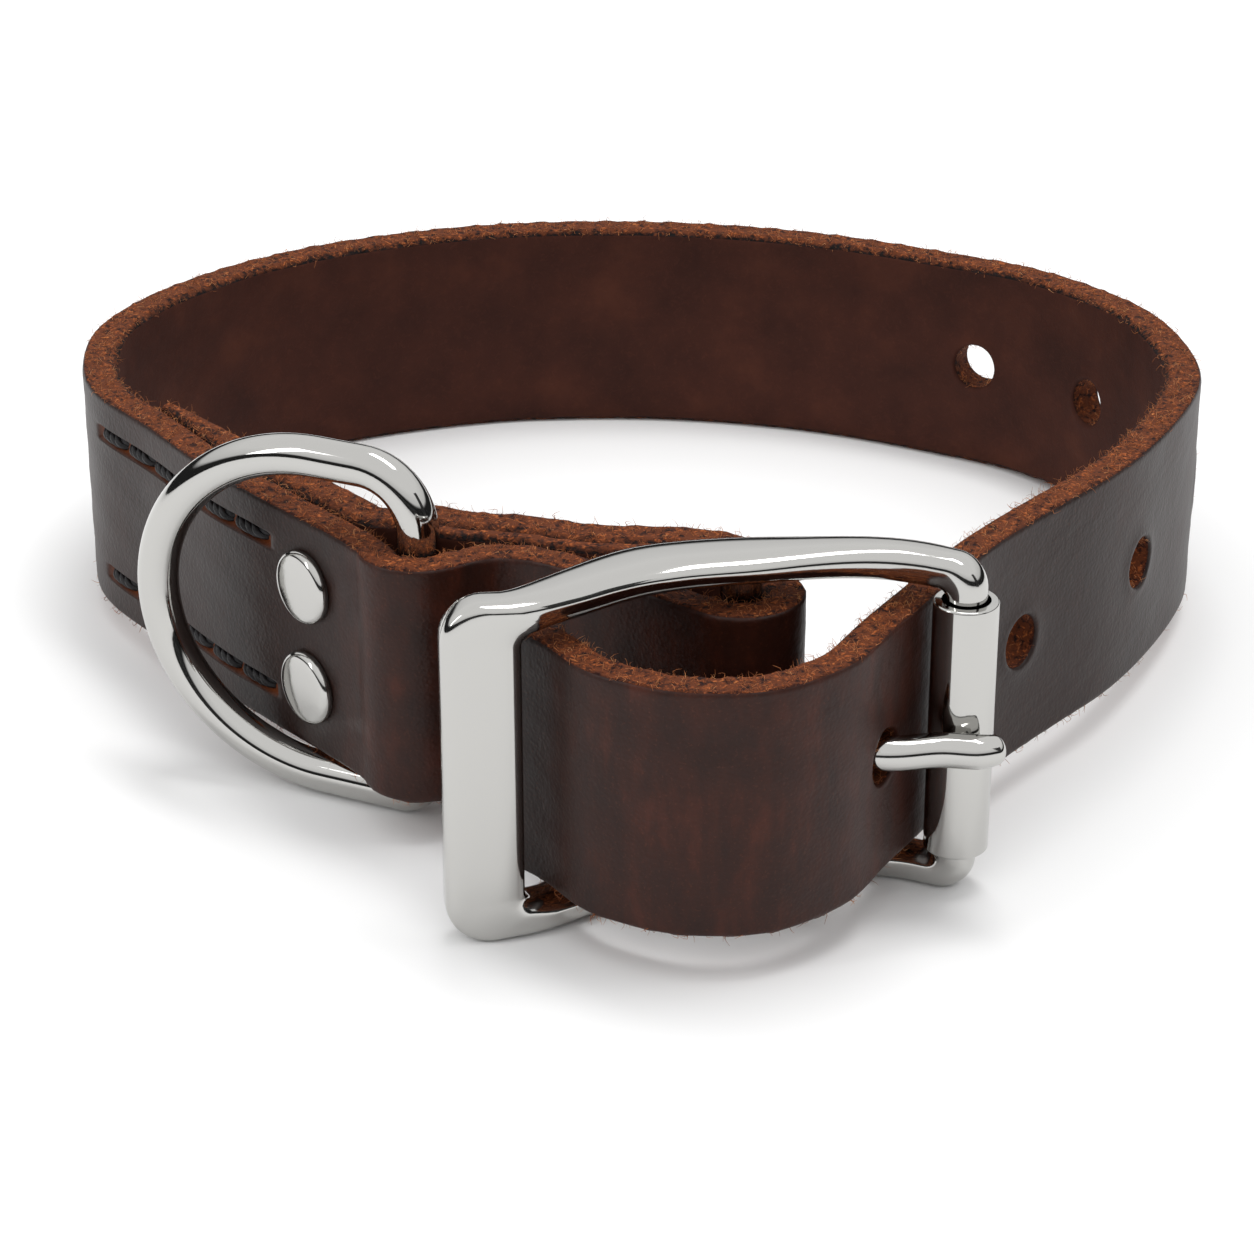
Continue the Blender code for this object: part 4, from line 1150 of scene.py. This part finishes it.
def fibre_tree(material):
    sizes = [(label, "NodeSocketFloat") for label in ("Density", "Length", "Thickness", "Curl")]
    tree, given = new_tree("fibres", sizes + [("Seed", "NodeSocketInt")])
    spots = add(tree, "GeometryNodeDistributePointsOnFaces", None,
                {"Mesh": given["Geometry"], "Density": given["Density"], "Seed": given["Seed"]})
    top = add(tree, VECTOR, None, {"Z": given["Length"]})
    line = add(tree, "GeometryNodeCurvePrimitiveLine", None, {"End": top})
    line = add(tree, "GeometryNodeResampleCurve", None, {"Curve": line, "Count": 4})
    along = add(tree, "GeometryNodeSplineParameter").outputs["Factor"]
    wave = add(tree, MATH, {"operation": "SINE"}, {0: add(tree, MATH, TIMES, {0: along, 1: 4.2})})
    square = add(tree, MATH, TIMES, {0: along, 1: along})
    bow = add(tree, VECTOR, None, {"X": add(tree, MATH, TIMES, {0: wave, 1: given["Curl"]}),
                                   "Y": add(tree, MATH, TIMES, {0: square, 1: given["Curl"]})})
    curl = add(tree, "GeometryNodeSetPosition", None, {"Geometry": line, "Offset": bow})
    taper = add(tree, MATH, PLUS, {0: add(tree, MATH, TIMES, {0: along, 1: -0.75}), 1: 1.0})
    ring = add(tree, CIRCLE, None, {"Resolution": 3, "Radius": given["Thickness"]})
    hair = add(tree, "GeometryNodeCurveToMesh", None,
               {"Curve": curl, "Profile Curve": ring, "Scale": taper, "Fill Caps": True})
    tilt = add(tree, "FunctionNodeRandomValue", {"data_type": "FLOAT_VECTOR"},
               {0: (-1.25, -1.25, 0.0), 1: (1.25, 1.25, 6.283), "Seed": 3})
    turned = add(tree, "FunctionNodeRotateRotation", {"rotation_space": "LOCAL"},
                 {0: spots.outputs["Rotation"], 1: tilt})
    size = add(tree, "FunctionNodeRandomValue", {"data_type": "FLOAT"},
               {2: 0.45, 3: 1.25, "Seed": 9})
    placed = add(tree, "GeometryNodeInstanceOnPoints", None,
                 {"Points": spots, "Instance": hair, "Rotation": turned,
                  "Scale": size.outputs[1]})
    finish_tree(tree, placed, material)
    return tree


def edge_faces(item):
    """The cut edges of a leather piece that face up or down, clear of the floor, to grow fibres
    from.
    """
    work = bmesh_of(item.data)
    rest = [f for f in work.faces if f.material_index != ZONES["edge"] or abs(f.normal.z) < 0.5
            or f.calc_center_median().z < 1.6 * MM]
    bmesh.ops.delete(work, geom=rest, context="FACES")
    mesh = bpy.data.meshes.new("edge_faces")
    work.to_mesh(mesh)
    work.free()
    return mesh


fibre = fibre_material()
grow("edge_fibres", edge_faces(strap_item), fibre_tree(fibre),
     {"Density": 2.2e6, "Length": 0.75 * MM, "Thickness": 0.035 * MM, "Curl": 0.28 * MM, "Seed": 4},
     fibre, "collar")

# %% [markdown]
# ## Studio
# The collar stands on a white sweep in a light tent. The camera looks down 26 degrees through a
# long lens. Soft panels and the pale tent light it. The tent's dark lower band, and black cards
# outside the picture, give the bright metal its dark lines.


# %% Floor, light and camera
def plain_panel(name, corners, material):
    mesh = bpy.data.meshes.new(name)
    mesh.from_pydata(corners, [], [tuple(range(len(corners)))])
    mesh.materials.append(material)
    made = bpy.data.objects.new(name, mesh)
    bpy.context.scene.collection.objects.link(made)
    return made


white, tree, shader = new_material("white paper floor")
wire(tree, shader, {"Base Color": "#f7f7f7", "Roughness": 0.9,
                    "Specular IOR Level": 0.0})
plain_panel("floor", [(-3, -3, 0), (3, -3, 0), (3, 3, 0), (-3, 3, 0)], white)
black, tree, shader = new_material("black card")
wire(tree, shader, {"Base Color": "#191919"})


def card(name, centre, size, look):
    """An upright card that faces the collar."""
    x, y, z = centre
    w, h = size[0] / 2, size[1] / 2
    a = math.radians(look)
    dx, dy = w * math.cos(a), w * math.sin(a)
    return plain_panel(name, [(x - dx, y - dy, z - h), (x + dx, y + dy, z - h),
                              (x + dx, y + dy, z + h), (x - dx, y - dy, z + h)], black)


BUCKLE = (0.0, -0.02, 0.02)


def soft_light(name, place, size, watts):
    lamp = bpy.data.lights.new(name, "AREA")
    lamp.shape = "RECTANGLE"
    lamp.size, lamp.size_y = size
    lamp.energy = watts
    made = bpy.data.objects.new(name, lamp)
    made.location = place
    ahead = Vector(BUCKLE) - Vector(place)
    made.rotation_euler = ahead.to_track_quat("-Z", "Y").to_euler()
    bpy.context.scene.collection.objects.link(made)
    return made


world = bpy.data.worlds.new("light tent")
world.use_nodes = True
bpy.context.scene.world = world
sky = world.node_tree
place = add(sky, "ShaderNodeTexCoord").outputs["Generated"]
rise = add(sky, "ShaderNodeSeparateXYZ", None, {"Vector": place}).outputs["Z"]
tent = add(sky, RAMP, {"stops": [(0.0, "#272727"), (0.22, "#272727"), (0.29, "#e1e1e1"),
                                 (0.55, "#f9f9f9")]}, {"Fac": rise})
wire(sky, sky.nodes["Background"], {"Color": tent, "Strength": 1.12})
soft_light("top panel", (0.12, 0.10, 0.9), (0.55, 0.16), 3.0)
soft_light("left panel", (-0.8, -0.35, 0.5), (0.12, 0.5), 1.1)
card("card right", (0.75, -0.45, 0.30), (0.25, 0.6), 60)
card("card front", (-0.10, -0.80, 0.10), (0.9, 0.10), 0)
bpy.context.scene.view_settings.view_transform = "Standard"
bpy.context.scene.view_settings.look = "None"
eye = bpy.data.cameras.new("photo camera")
eye.lens = 102.40
eye.sensor_width = 36.0
eye.clip_start = 0.01
camera = bpy.data.objects.new("photo camera", eye)
camera.location = (-1.26 * MM, -352.2 * MM, 175.84 * MM)
camera.rotation_euler = (math.radians(63.839), 0.0, 0.0)
bpy.context.scene.collection.objects.link(camera)
bpy.context.scene.camera = camera
